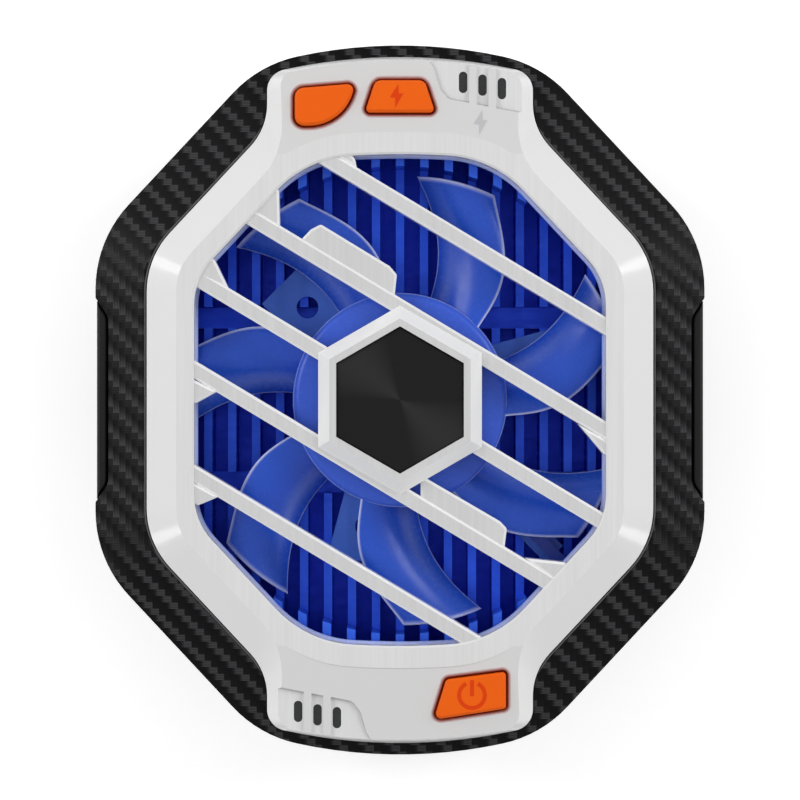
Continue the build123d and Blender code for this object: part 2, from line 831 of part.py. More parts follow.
with BuildPart() as carbon_shell:
    extrude(body_outline(split_z, 0), amount=shell_edge_z - split_z)
    loft([body_outline(shell_edge_z, 0), body_outline(shell_top_z, shell_crest_run)], ruled=True)
    extrude(body_outline(split_z, shell_wall), amount=roof_z - split_z, mode=Mode.SUBTRACT)
    extrude(inner_frame_outline(roof_z, seat_ledge), amount=seat_ledge_height, mode=Mode.SUBTRACT)
    extrude(inner_frame_outline(seat_z, -frame_gap), amount=overrun, mode=Mode.SUBTRACT)
    loft(
        [
            inner_frame_outline(shell_top_z - shell_lip, -frame_gap),
            inner_frame_outline(shell_top_z, -frame_gap - shell_lip),
        ],
        ruled=True, mode=Mode.SUBTRACT,
    )
    # Walls behind the jaws, thickened before the notches are cut
    for side in (1, -1):
        backing_x = notch_x - notch_backing
        reach_x = notch_x + notch_backing_overlap
        backing = side_block(split_z, side, backing_x, reach_x, jaw_half_y, notch_backing_round)
        extrude(backing, amount=roof_z - split_z)
        notch = jaw_plan(split_z, side, notch_x, body_half_x + overrun, 0)
        extrude(notch, amount=shell_top_z - split_z, mode=Mode.SUBTRACT)
    # Posts that take the screws from the rear cover
    extrude(discs_on(split_z, case_posts, case_post_radius), amount=roof_z - split_z)
    extrude(discs_on(split_z, case_posts, screw_shank), amount=case_screw_grip, mode=Mode.SUBTRACT)
    # Air slots in the diagonal sides
    for x_side in (1, -1):
        for y_side in (1, -1):
            normal = Vector(x_side * cos(radians(corner_angle)), y_side * sin(radians(corner_angle)))
            along = Vector(-normal.Y, normal.X) * (x_side * y_side)
            middle = normal * body_diagonal + along * vent_diagonal_shift + Vector(0, 0, vent_mid_z)
            with BuildSketch(Plane(middle, x_dir=along, z_dir=normal)):
                with GridLocations(vent_pitch, 0, vent_diagonal_count, 1):
                    SlotOverall(vent_height, vent_width, rotation=90)
            extrude(amount=vent_diagonal_cut, both=True, mode=Mode.SUBTRACT)
    # Air slots at the top and beside the charging socket
    top_spots = [((i - (vent_top_count - 1) / 2) * vent_pitch, 1) for i in range(vent_top_count)]
    port_reaches = [vent_port_x + i * vent_pitch for i in range(vent_port_count)]
    port_spots = [(side * reach, -1) for side in (1, -1) for reach in port_reaches]
    for x, y_side in top_spots + port_spots:
        slot_middle = (x, y_side * body_crown_y, vent_mid_z)
        with BuildSketch(Plane(slot_middle, x_dir=(1, 0, 0), z_dir=(0, y_side, 0))):
            SlotOverall(vent_height, vent_width, rotation=90)
        extrude(amount=vent_crown_cut, both=True, mode=Mode.SUBTRACT)
    mouth_y = -body_crown_y - shell_wall
    mouth = socket_outline(mouth_y, socket_width + lid_gap * 2, socket_height + lid_gap * 2)
    extrude(mouth, amount=mouth_cut, mode=Mode.SUBTRACT)

# Rear cover: shallow tray that carries the cold plate, the jaws and the boards' posts

with BuildPart() as rear_cover:
    loft([body_outline(cover_z, cover_draft_run), body_outline(split_z, lid_gap)], ruled=True)
    extrude(body_outline(cover_floor_z, cover_wall), amount=split_z - cover_floor_z, mode=Mode.SUBTRACT)
    extrude(discs_on(cover_floor_z, small_bosses, boss_radius), amount=retainer_z - cover_floor_z)
    extrude(discs_on(cover_floor_z, case_posts, case_post_radius), amount=split_z - cover_floor_z)
    extrude(discs_on(cover_floor_z, sink_posts, boss_radius), amount=sink_z - cover_floor_z)
    extrude(discs_on(cover_floor_z, main_posts, main_post_radius), amount=main_board_z - cover_floor_z)
    for side in (1, -1):
        notch = jaw_plan(cover_z, side, notch_x, body_half_x + overrun, 0)
        extrude(notch, amount=cover_height, mode=Mode.SUBTRACT)
        slot_x = body_half_x - neck_slot_reach
        neck_slot = side_block(cover_floor_z, side, slot_x, body_half_x, slider_neck_y + slide_gap, lid_gap)
        extrude(neck_slot, amount=split_z - cover_floor_z, mode=Mode.SUBTRACT)
    flange_seat = square_on(cover_z, flange_side + lid_gap * 2, plate_round + lid_gap)
    extrude(flange_seat, amount=plate_boss_z - cover_z, mode=Mode.SUBTRACT)
    boss_window = square_on(cover_z, plate_boss_side + lid_gap * 2, plate_round + lid_gap)
    extrude(boss_window, amount=cover_floor, mode=Mode.SUBTRACT)
    # Pin seat and screw holes
    pin_hole = discs_on(cover_z + pin_seat, [(0, pinion_y)], pin_radius)
    extrude(pin_hole, amount=cover_floor, mode=Mode.SUBTRACT)
    for spots in (case_posts, sink_posts):
        head_hole = discs_on(cover_z, spots, screw_head_radius + lid_gap)
        extrude(head_hole, amount=head_seat_z - cover_z, mode=Mode.SUBTRACT)
        shank_hole = discs_on(cover_z, spots, screw_shank + fit_gap)
        extrude(shank_hole, amount=sink_z - cover_z, mode=Mode.SUBTRACT)
    boss_hole = discs_on(retainer_z - small_screw_grip, small_bosses, small_screw_shank)
    extrude(boss_hole, amount=small_screw_grip, mode=Mode.SUBTRACT)
    post_hole = discs_on(main_board_z - small_screw_grip, main_posts, small_screw_shank)
    extrude(post_hole, amount=small_screw_grip, mode=Mode.SUBTRACT)

# Clamp cover: flat plate over the jaws' sliders

with BuildPart() as clamp_cover:
    extrude(
        box_on(retainer_z, retainer_half_x, -retainer_low_y, retainer_high_y, retainer_round),
        amount=retainer_thickness,
    )
    extrude(
        body_outline(retainer_z, cover_wall + slide_gap), amount=retainer_thickness, mode=Mode.INTERSECT,
    )
    module_window = square_on(retainer_z, module_side + slide_gap * 2, module_window_round)
    extrude(module_window, amount=retainer_thickness, mode=Mode.SUBTRACT)
    extrude(
        discs_on(retainer_z, sink_posts, boss_radius + boss_clearance),
        amount=retainer_thickness, mode=Mode.SUBTRACT,
    )
    spring_hole = discs_on(retainer_z, [(0, pinion_y)], spring_radius + spring_wire + slide_gap)
    extrude(spring_hole, amount=retainer_thickness, mode=Mode.SUBTRACT)
    extrude(
        discs_on(retainer_z, small_bosses, small_screw_shank + fit_gap),
        amount=retainer_thickness, mode=Mode.SUBTRACT,
    )

# Cold plate, its soft contact pad and the cooling module

with BuildPart() as cold_plate:
    extrude(square_on(flange_z, flange_side, plate_round), amount=flange_thickness)
    extrude(square_on(plate_boss_z, plate_boss_side, plate_round), amount=plate_boss_height)

with BuildPart() as contact_pad:
    extrude(square_on(pad_z, pad_side, plate_round), amount=pad_thickness)

with BuildPart() as peltier_module:
    pellet_pitch = module_side / pellet_rows
    for plate_z in (module_z, sink_z - module_plate):
        with BuildSketch(Plane.XY.offset(plate_z)):
            Rectangle(module_side, module_side)
        extrude(amount=module_plate)
    with BuildSketch(Plane.XY.offset(module_z + module_plate)):
        with GridLocations(pellet_pitch, pellet_pitch, pellet_rows, pellet_rows):
            Rectangle(pellet_side, pellet_side)
    extrude(amount=module_thickness - module_plate * 2)

# Heatsink: fins along Y on a base, with a round pocket for the fan

with BuildPart() as heatsink:
    extrude(sink_outline(sink_z), amount=sink_base)
    with BuildSketch(Plane.XY.offset(fin_floor_z)):
        with GridLocations(fin_pitch, 0, fins_each_side * 2 + 1, 1):
            Rectangle(fin_width, sink_half_y * 2)
        add(sink_outline(0), mode=Mode.INTERSECT)
    extrude(amount=fin_top_z - fin_floor_z)
    # Low ribs that tie the fins together across the middle
    channel_mid_y = channel_y + channel_width / 2
    with BuildSketch(Plane.XY.offset(fin_floor_z)):
        with Locations((0, channel_mid_y), (0, -channel_mid_y)):
            Rectangle(sink_half_x * 2, channel_width)
    extrude(amount=fin_top_z - fin_floor_z, mode=Mode.SUBTRACT)
    with BuildSketch(Plane.XY.offset(fin_floor_z)):
        with Locations((0, channel_mid_y), (0, -channel_mid_y)):
            Rectangle(sink_half_x * 2, channel_width)
    extrude(amount=channel_rib)
    with BuildSketch(Plane.XY.offset(fan_seat_z)):
        Circle(fan_pocket_radius)
    extrude(amount=pocket_depth, mode=Mode.SUBTRACT)
    # Fins outside the front frame's hollow stop short of the shell's ledge
    with BuildSketch(Plane.XY.offset(roof_z - slide_gap)):
        Rectangle(body_half_x * 2, body_crown_y * 2)
        add(inner_frame_outline(0, frame_wall + slide_gap), mode=Mode.SUBTRACT)
    extrude(amount=fin_top_z - roof_z + slide_gap, mode=Mode.SUBTRACT)
    # Notch that lets the fan's lead out
    with BuildSketch(Plane.XY.offset(motor_top_z - slide_gap)):
        with PolarLocations(fan_pocket_radius - fin_pitch, 1, start_angle=tongue_angle):
            Rectangle(sink_half_y, lead_notch, align=(Align.MIN, Align.CENTER))
    extrude(amount=fin_top_z - motor_top_z + slide_gap, mode=Mode.SUBTRACT)
    extrude(discs_on(sink_z, sink_posts, screw_shank), amount=sink_screw_grip, mode=Mode.SUBTRACT)

# Motor base: disc with three arms that stand on the short fins, a forked tongue and the bearing tube

with BuildPart() as motor_base:
    with BuildSketch(Plane.XY.offset(fan_seat_z)):
        Circle(motor_disc_radius)
        with PolarLocations(0, arm_count, start_angle=arm_first_angle):
            Rectangle(arm_reach, arm_half_width * 2, align=(Align.MIN, Align.CENTER))
        with PolarLocations(0, 1, start_angle=tongue_angle):
            Rectangle(tongue_reach, tongue_half_width * 2, align=(Align.MIN, Align.CENTER))
        with PolarLocations(arm_hole_reach, arm_count, start_angle=arm_first_angle):
            Circle(arm_hole_radius, mode=Mode.SUBTRACT)
        with PolarLocations(tongue_slot_start, 1, start_angle=tongue_angle):
            Rectangle(tongue_reach, tongue_slot, align=(Align.MIN, Align.CENTER), mode=Mode.SUBTRACT)
    extrude(amount=motor_base_thickness)
    extrude(discs_on(motor_top_z, [(0, 0)], bearing_tube_radius), amount=bearing_tube_height)
    extrude(discs_on(motor_top_z, [(0, 0)], bearing_radius), amount=bearing_tube_height, mode=Mode.SUBTRACT)
    thrust_pocket = discs_on(motor_top_z - shaft_seat, [(0, 0)], shaft_radius + running_gap)
    extrude(thrust_pocket, amount=shaft_seat, mode=Mode.SUBTRACT)

with BuildPart() as bearing_bush:
    with BuildSketch(Plane.XY.offset(motor_top_z)):
        Circle(bearing_radius)
        Circle(shaft_radius + running_gap, mode=Mode.SUBTRACT)
    extrude(amount=bush_length)

with BuildPart() as motor_board:
    with BuildSketch(Plane.XY.offset(motor_top_z)):
        Circle(motor_board_radius)
        Circle(bearing_tube_radius + fit_gap, mode=Mode.SUBTRACT)
    extrude(amount=motor_board_thickness)

# Stator: toothed core on the bearing tube, with a coil round each tooth

with BuildPart() as stator_core:
    with BuildSketch(Plane.XY.offset(stator_z)):
        Circle(stator_hub_radius)
        with PolarLocations(0, stator_teeth):
            Rectangle(stator_radius, stator_tooth_width, align=(Align.MIN, Align.CENTER))
        with PolarLocations(stator_tip_radius, stator_teeth):
            Rectangle(stator_tip_depth * 2, stator_tip_width, align=(Align.MIN, Align.CENTER))
        Circle(stator_radius, mode=Mode.INTERSECT)
        Circle(bearing_tube_radius, mode=Mode.SUBTRACT)
    extrude(amount=stator_height)

with BuildPart() as stator_coils:
    coil_length = stator_tip_radius - stator_hub_radius - coil_gap * 2
    coil_middle = (stator_tip_radius + stator_hub_radius) / 2
    with BuildSketch(Plane.XY.offset(stator_z - coil_wall)):
        with PolarLocations(coil_middle, stator_teeth):
            Rectangle(coil_length, stator_tooth_width + coil_wall * 2)
    extrude(amount=stator_height + coil_wall * 2)
    with BuildSketch(Plane.XY.offset(stator_z)):
        with PolarLocations(coil_middle, stator_teeth):
            Rectangle(coil_length, stator_tooth_width)
    extrude(amount=stator_height, mode=Mode.SUBTRACT)

# Impeller: cup-shaped hub with swept blades


def blade_section(share_row):
    """Curved strip across a blade, in the plane square to the blade's axis at one place along it."""
    along_share, leading_share, trailing_share = share_row
    first, last = blade_shares[0][0], blade_shares[-1][0]
    travel = (along_share - first) / (last - first)
    high = leading_edge_shares[0] + (leading_edge_shares[1] - leading_edge_shares[0]) * travel
    low = trailing_edge_shares[0] + (trailing_edge_shares[1] - trailing_edge_shares[0]) * travel
    high_z, low_z = rotor_z + rotor_height * high, rotor_z + rotor_height * low
    start, end = leading_share * blade_tip_radius, trailing_share * blade_tip_radius
    camber = (end - start) * blade_camber_share
    middle_x, middle_z = (start + end) / 2, (high_z + low_z) / 2 + camber
    outward = Vector(1, 0).rotate(Axis.Z, blade_axis_angle)
    across = Vector(0, 1).rotate(Axis.Z, blade_axis_angle)
    foot = outward * along_share * blade_tip_radius
    with BuildSketch(Plane(foot, x_dir=across, z_dir=outward)) as section:
        with BuildLine():
            ThreePointArc(
                (start, high_z), (middle_x, middle_z + blade_thickness / 2), (end, low_z + blade_thickness),
            )
            Line((end, low_z + blade_thickness), (end, low_z))
            ThreePointArc(
                (end, low_z), (middle_x, middle_z - blade_thickness / 2), (start, high_z - blade_thickness),
            )
            Line((start, high_z - blade_thickness), (start, high_z))
        make_face()
    return section.sketch


with BuildPart() as blade:
    loft([blade_section(row) for row in blade_shares])
    with BuildSketch(Plane.XY.offset(rotor_z)):
        Circle(blade_tip_radius)
        Circle(hub_radius - hub_wall / 2, mode=Mode.SUBTRACT)
    extrude(amount=rotor_height, mode=Mode.INTERSECT)

with BuildPart() as impeller:
    extrude(discs_on(rotor_z, [(0, 0)], hub_radius), amount=rotor_height)
    fillet(impeller.edges().group_by(Axis.Z)[-1], hub_round)
    extrude(discs_on(rotor_z, [(0, 0)], magnet_radius), amount=rotor_height - hub_wall, mode=Mode.SUBTRACT)
    extrude(discs_on(hub_plate_z - hub_boss_height, [(0, 0)], hub_boss_radius), amount=hub_boss_height)
    shaft_hole = discs_on(hub_plate_z - hub_boss_height, [(0, 0)], shaft_radius)
    extrude(shaft_hole, amount=hub_boss_height + hub_wall - shaft_cap, mode=Mode.SUBTRACT)
    with PolarLocations(0, blade_count):
        add(blade.part)

with BuildPart() as rotor_shaft:
    shaft_z = motor_top_z - shaft_seat + fit_gap
    extrude(discs_on(shaft_z, [(0, 0)], shaft_radius), amount=rotor_top_z - shaft_cap - shaft_z)

with BuildPart() as rotor_magnet:
    with BuildSketch(Plane.XY.offset(hub_plate_z - magnet_height)):
        Circle(magnet_radius)
        Circle(magnet_bore, mode=Mode.SUBTRACT)
    extrude(amount=magnet_height)

# Lead from the motor's board, along the tongue, round the heatsink's corner to the main board

with BuildPart() as fan_lead:
    lead_z = motor_top_z + lead_thickness / 2
    start = Vector(motor_board_radius + fit_gap, 0).rotate(Axis.Z, tongue_angle)
    corner = Vector(body_diagonal - lead_shell_inset, 0).rotate(Axis.Z, tongue_angle)
    turn = (sink_half_x - lead_turn_inset, -sink_half_y - lead_turn_gap)
    end = (main_board_half_x - lead_board_overlap, -main_board_low_y - lead_board_inset)
    with BuildLine(Plane.XY.offset(lead_z)) as lead_route:
        FilletPolyline((start.X, start.Y), (corner.X, corner.Y), turn, end, radius=lead_bend)
    route = lead_route.wires()[0]
    with BuildSketch(Plane(route @ 0, x_dir=(0, 0, 1), z_dir=route % 0)):
        Rectangle(lead_thickness, lead_width)
    sweep(path=route)

# Light ring under the grille's rim, its two side boards and their lamps

with BuildPart() as light_ring:
    with BuildSketch(Plane.XY.offset(light_ring_z)):
        add(opening_outline(0, light_ring_reach))
        add(opening_outline(0, -light_ring_lip), mode=Mode.SUBTRACT)
    extrude(amount=light_ring_height)

with BuildPart() as light_boards:
    board_mid_x = opening_half_x + rim_wall + fit_gap + light_board_width / 2
    with BuildSketch(Plane.XY.offset(rim_z)):
        with Locations((-board_mid_x, 0), (board_mid_x, 0)):
            Rectangle(light_board_width, light_board_half_y * 2)
    extrude(amount=light_board_thickness)

with BuildPart() as light_lamps:
    lamp_mid_x = opening_half_x + light_ring_reach + fit_gap + light_lamp_depth / 2
    with BuildSketch(Plane.XY.offset(light_ring_z)):
        for side in (1, -1):
            with Locations((side * lamp_mid_x, 0)):
                with GridLocations(0, light_lamp_pitch, 1, light_lamp_count):
                    Rectangle(light_lamp_depth, light_lamp_length)
    extrude(amount=light_ring_height)

# Buttons, the switches under them and the stems between


def button_cap(outline_of):
    """Cap that stands proud of its tab, with a flange that holds it under the plate."""
    with BuildPart() as cap:
        extrude(outline_of(plunger_top_z, button_gap + button_flange), amount=button_flange_height)
        extrude(outline_of(flange_top_z, 0), amount=frame_top_z - flange_top_z + button_proud - button_play)
        chamfer(cap.edges().group_by(Axis.Z)[-1], button_chamfer)
    return cap


def button_plunger(share):
    """Stem between a button's flange and its switch."""
    with BuildPart() as stem:
        foot = discs_on(plunger_top_z - plunger_height, [tab_point(share)], plunger_radius)
        extrude(foot, amount=plunger_height)
    return stem


light_button = button_cap(light_button_outline)
boost_button = button_cap(boost_button_outline)
power_button = button_cap(power_button_outline)
light_plunger, boost_plunger, power_plunger = [button_plunger(share) for share in switch_shares]
switch_spots = [tab_point(share) for share in switch_shares]

with BuildPart() as tact_switches:
    with BuildSketch(Plane.XY.offset(board_top_z)):
        with Locations(*switch_spots):
            Rectangle(switch_side, switch_side)
    extrude(amount=switch_height)
    well_z = board_top_z + switch_height - switch_well_depth
    switch_well = discs_on(well_z, switch_spots, switch_well_radius)
    extrude(switch_well, amount=switch_well_depth, mode=Mode.SUBTRACT)

# Boards under the tabs, their lamps and the window blocks above them


def tab_board(side):
    """Board held under one tab by two screws."""
    low_y, high_y = sorted((side * board_low_y, side * board_high_y))
    spots = [(-board_boss_x, side * board_boss_y), (board_boss_x, side * board_boss_y)]
    with BuildPart() as board:
        extrude(box_on(board_z, board_half_x, low_y, high_y, board_corner), amount=board_thickness)
        holes = discs_on(board_z, spots, small_screw_shank + fit_gap)
        extrude(holes, amount=board_thickness, mode=Mode.SUBTRACT)
    return board


def window_blocks(side):
    """Three light windows joined by a flange that lies under the tab's plate."""
    with BuildPart() as blocks:
        extrude(windows_on(window_foot_z, side), amount=recess_z - window_sink - window_foot_z)
        extrude(window_web_on(window_web_z, side), amount=window_web_height)
    return blocks


upper_board = tab_board(1)
lower_board = tab_board(-1)
level_windows = window_blocks(1)
status_windows = window_blocks(-1)

with BuildPart() as indicator_lamps:
    with BuildSketch(Plane.XY.offset(board_top_z)):
        with Locations(*window_places(1), *window_places(-1)):
            Rectangle(indicator_lamp_side, indicator_lamp_side)
    extrude(amount=indicator_lamp_height)

# Main board on its posts, with the charging socket under its edge

with BuildPart() as main_board:
    extrude(
        box_on(main_board_z, main_board_half_x, -main_board_high_y, -main_board_low_y, main_board_corner),
        amount=board_thickness,
    )
    chip_y = -(main_board_low_y + main_board_high_y) / 2
    with BuildSketch(Plane.XY.offset(main_board_z - chip_height)):
        with Locations((-chip_x, chip_y), (chip_x, chip_y)):
            Rectangle(chip_side, chip_side)
    extrude(amount=chip_height)
    extrude(
        discs_on(main_board_z, main_posts, small_screw_shank + fit_gap),
        amount=board_thickness, mode=Mode.SUBTRACT,
    )

with BuildPart() as usb_port:
    mouth_y = -body_crown_y + socket_inset
    extrude(socket_outline(mouth_y, socket_width, socket_height), amount=socket_length)
    hollow = socket_outline(mouth_y, socket_width - socket_wall * 2, socket_height - socket_wall * 2)
    extrude(hollow, amount=socket_length - socket_wall, mode=Mode.SUBTRACT)
    tongue_y = mouth_y + socket_tongue_inset
    with BuildSketch(Plane((0, tongue_y, socket_mid_z), x_dir=(1, 0, 0), z_dir=(0, 1, 0))):
        Rectangle(socket_tongue_width, socket_tongue_thickness)
    extrude(amount=socket_length - socket_tongue_inset)

# Jaws: a wall that hooks round the phone, and a slider that reaches in under the clamp cover


def rack_teeth(z, pitch_y, toward, run):
    """Straight rack teeth, their roots away from toward; run is the way that the teeth extend."""
    lean = tan(radians(pressure_angle))
    root_half, tip_half = half_tooth + tooth_root * lean, half_tooth - tooth_tip * lean
    root_y, tip_y = pitch_y - toward * tooth_root, pitch_y + toward * tooth_tip
    with BuildSketch(Plane.XY.offset(z)) as teeth:
        for i in range(-rack_back_teeth, rack_run_teeth):
            middle = run * (i + 0.5) * tooth_pitch
            with BuildLine():
                Polyline(
                    (middle - root_half, root_y), (middle - tip_half, tip_y),
                    (middle + tip_half, tip_y), (middle + root_half, root_y), close=True,
                )
            make_face()
    return teeth.sketch


def slider_plan(side):
    """Neck and crossbar of a jaw's slider, seen from above."""
    inner_x, shoulder_x = slider_inner_x, slider_shoulder_x
    upper = [
        (wall_x, slider_neck_y), (shoulder_x, slider_neck_y),
        (shoulder_x, slider_wing_y), (inner_x, slider_wing_y),
    ]
    lower = [(x, -y) for x, y in reversed(upper)]
    return polygon_on(slider_z, [(side * x, y) for x, y in upper + lower])


def low_arm_plan():
    """Arm of the left jaw, which passes below the pinion."""
    root_y = pinion_y - pitch_radius - tooth_root
    arm_y = root_y - arm_width
    return polygon_on(slider_z, [
        (-slider_shoulder_x, slider_wing_y - slider_bar), (-slider_shoulder_x, root_y),
        (arm_end_x, root_y), (arm_end_x, arm_y),
        (-slider_inner_x, arm_y), (-slider_inner_x, slider_wing_y - slider_bar),
    ])


def high_arm_plan():
    """Arm of the right jaw, which passes above the pinion, and the link down to its crossbar."""
    root_y = pinion_y + pitch_radius + tooth_root
    arm_y = root_y + arm_width
    bend_y = pinion_y - pitch_radius
    return polygon_on(slider_z, [
        (-arm_end_x, root_y), (-arm_end_x, arm_y), (arm_link_x, arm_y),
        (slider_shoulder_x, slider_wing_y), (slider_shoulder_x, slider_wing_y - slider_bar),
        (slider_inner_x, slider_wing_y - slider_bar), (slider_inner_x, slider_wing_y),
        (arm_bend_x, bend_y), (arm_link_x, root_y),
    ])


def jaw(side, arm_plan, teeth):
    """One clamp jaw; side is 1 for the right jaw and -1 for the left."""
    outer_x = body_half_x - jaw_inset
    with BuildPart() as piece:
        extrude(jaw_plan(0, side, wall_x, outer_x, slide_gap), amount=jaw_top_z)
        fillet(piece.edges().group_by(Axis.Z)[-1], jaw_edge_round)
        grip = side_block(0, side, grip_x, outer_x - notch_depth / 2, jaw_flush_y, lip_round)
        extrude(grip, amount=jaw_body_top_z)
        lip = side_block(0, side, body_half_x - lip_reach, outer_x, jaw_flush_y, lip_round)
        extrude(lip, amount=lip_thickness)
        extrude(slider_plan(side), amount=slider_thickness)
        extrude(arm_plan, amount=slider_thickness)
        extrude(teeth, amount=slider_thickness)
    return piece


left_jaw = jaw(-1, low_arm_plan(), rack_teeth(slider_z, pinion_y - pitch_radius, 1, 1))
right_jaw = jaw(1, high_arm_plan(), rack_teeth(slider_z, pinion_y + pitch_radius, -1, -1))


def jaw_pad(side):
    """Soft strip on the inside of a jaw."""
    inner_x = grip_x - jaw_pad_thickness
    with BuildPart() as pad:
        strip = side_block(lip_thickness, side, inner_x, grip_x, jaw_pad_half_y, jaw_pad_thickness / 2)
        extrude(strip, amount=jaw_body_top_z - jaw_pad_margin - lip_thickness)
    return pad


left_jaw_pad = jaw_pad(-1)
right_jaw_pad = jaw_pad(1)

# Pinion with involute teeth, its pin and its return spring


def pinion_points():
    """Corners of the pinion: straight flanks up to the base circle, involute ones above it."""
    base_radius = pitch_radius * cos(radians(pressure_angle))
    pitch_involute = tan(radians(pressure_angle)) - radians(pressure_angle)
    tip_radius = pitch_radius + tooth_tip
    flank = [(pitch_radius - tooth_root, half_tooth / pitch_radius + pitch_involute)]
    for step in range(flank_steps + 1):
        radius = base_radius + (tip_radius - base_radius) * step / flank_steps
        roll = acos(base_radius / radius)
        flank.append((radius, half_tooth / pitch_radius + pitch_involute - tan(roll) + roll))
    points = []
    for tooth in range(pinion_teeth):
        middle = 2 * pi * tooth / pinion_teeth
        points += [(radius, middle - half_angle) for radius, half_angle in flank]
        points += [(radius, middle + half_angle) for radius, half_angle in reversed(flank)]
    return [(radius * cos(angle), pinion_y + radius * sin(angle)) for radius, angle in points]


with BuildPart() as clamp_pinion:
    extrude(polygon_on(slider_z, pinion_points()), amount=slider_thickness)
    pin_bore = discs_on(slider_z, [(0, pinion_y)], pin_radius + running_gap)
    extrude(pin_bore, amount=slider_thickness, mode=Mode.SUBTRACT)

spring_z = slider_top_z + slide_gap + spring_wire / 2
spring_rise = spring_pitch * spring_turns

with BuildPart() as pinion_pin:
    pin_z = cover_z + pin_seat
    pin_top_z = spring_z + spring_rise + spring_wire
    extrude(discs_on(pin_z, [(0, pinion_y)], pin_radius), amount=pin_top_z - pin_z)

with BuildPart() as clamp_spring:
    with BuildLine() as spring_route:
        coil = Helix(spring_pitch, spring_rise, spring_radius, center=(0, pinion_y, spring_z))
        Line(coil @ 1, coil @ 1 + coil % 1 * spring_leg)
    spring_path = spring_route.wires()[0]
    with BuildSketch(Plane(coil @ 0, z_dir=coil % 0)):
        Circle(spring_wire / 2)
    sweep(path=spring_path, is_frenet=True)

# Screws


def screw_set(spots, seat_z, toward, shank_radius, head_radius, head_height, grip):
    """Equal screws seated at seat_z, their shanks pointing up where toward is 1 and down where it is -1."""
    with BuildPart() as screws:
        extrude(discs_on(seat_z, spots, head_radius), amount=-toward * head_height)
        extrude(discs_on(seat_z, spots, shank_radius), amount=toward * grip)
        with BuildSketch(Plane.XY.offset(seat_z - toward * head_height)):
            with Locations(*spots):
                Rectangle(head_radius * drive_length_share, head_radius * drive_width_share)
                Rectangle(head_radius * drive_width_share, head_radius * drive_length_share)
        extrude(amount=toward * head_height * drive_depth_share, mode=Mode.SUBTRACT)
    return screws


def small_screws(spots, seat_z, toward, plate):
    """Small screws that hold a plate of the given thickness."""
    reach = plate + small_screw_grip - lid_gap
    return screw_set(
        spots, seat_z, toward, small_screw_shank, small_screw_head_radius, small_screw_head_height, reach,
    )


housing_screws = screw_set(
    case_posts, head_seat_z, 1, screw_shank, screw_head_radius, screw_head_height,
    split_z + case_screw_grip - lid_gap - head_seat_z,
)
heatsink_screws = screw_set(
    sink_posts, head_seat_z, 1, screw_shank, screw_head_radius, screw_head_height,
    sink_z + sink_screw_grip - lid_gap - head_seat_z,
)
clamp_cover_screws = small_screws(small_bosses, retainer_top_z, -1, retainer_thickness)
main_board_screws = small_screws(main_posts, main_board_top_z, -1, board_thickness)
tab_board_screws = small_screws(
    [(x, y) for x in (-board_boss_x, board_boss_x) for y in (-board_boss_y, board_boss_y)],
    board_z, 1, board_thickness,
)

# Write each piece under its own name

pieces = {
    "front_frame": front_frame,
    "grille": grille,
    "hub_badge": hub_badge,
    "carbon_shell": carbon_shell,
    "rear_cover": rear_cover,
    "clamp_cover": clamp_cover,
    "cold_plate": cold_plate,
    "contact_pad": contact_pad,
    "peltier_module": peltier_module,
    "heatsink": heatsink,
    "motor_base": motor_base,
    "bearing_bush": bearing_bush,
    "motor_board": motor_board,
    "stator_core": stator_core,
    "stator_coils": stator_coils,
    "fan_lead": fan_lead,
    "impeller": impeller,
    "rotor_shaft": rotor_shaft,
    "rotor_magnet": rotor_magnet,
    "light_ring": light_ring,
    "light_boards": light_boards,
    "light_lamps": light_lamps,
    "light_button": light_button,
    "boost_button": boost_button,
    "power_button": power_button,
    "light_plunger": light_plunger,
    "boost_plunger": boost_plunger,
    "power_plunger": power_plunger,
    "tact_switches": tact_switches,
    "upper_board": upper_board,
    "lower_board": lower_board,
    "level_windows": level_windows,
    "status_windows": status_windows,
    "indicator_lamps": indicator_lamps,
    "main_board": main_board,
    "usb_port": usb_port,
    "left_jaw": left_jaw,
    "right_jaw": right_jaw,
    "left_jaw_pad": left_jaw_pad,
    "right_jaw_pad": right_jaw_pad,
    "clamp_pinion": clamp_pinion,
    "pinion_pin": pinion_pin,
    "clamp_spring": clamp_spring,
    "housing_screws": housing_screws,
    "heatsink_screws": heatsink_screws,
    "clamp_cover_screws": clamp_cover_screws,
    "main_board_screws": main_board_screws,
    "tab_board_screws": tab_board_screws,
}

os.makedirs("parts", exist_ok=True)
for name, piece in pieces.items():
    piece.part.label = name
    export_step(piece.part, f"parts/{name}.step")
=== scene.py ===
"""Phone cooling fan: finishes, printed marks, blades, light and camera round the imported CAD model.

Lengths are metres in the CAD frame: +Z out of the grille, +Y to the tab with two buttons.
"""
import itertools
import json
import math

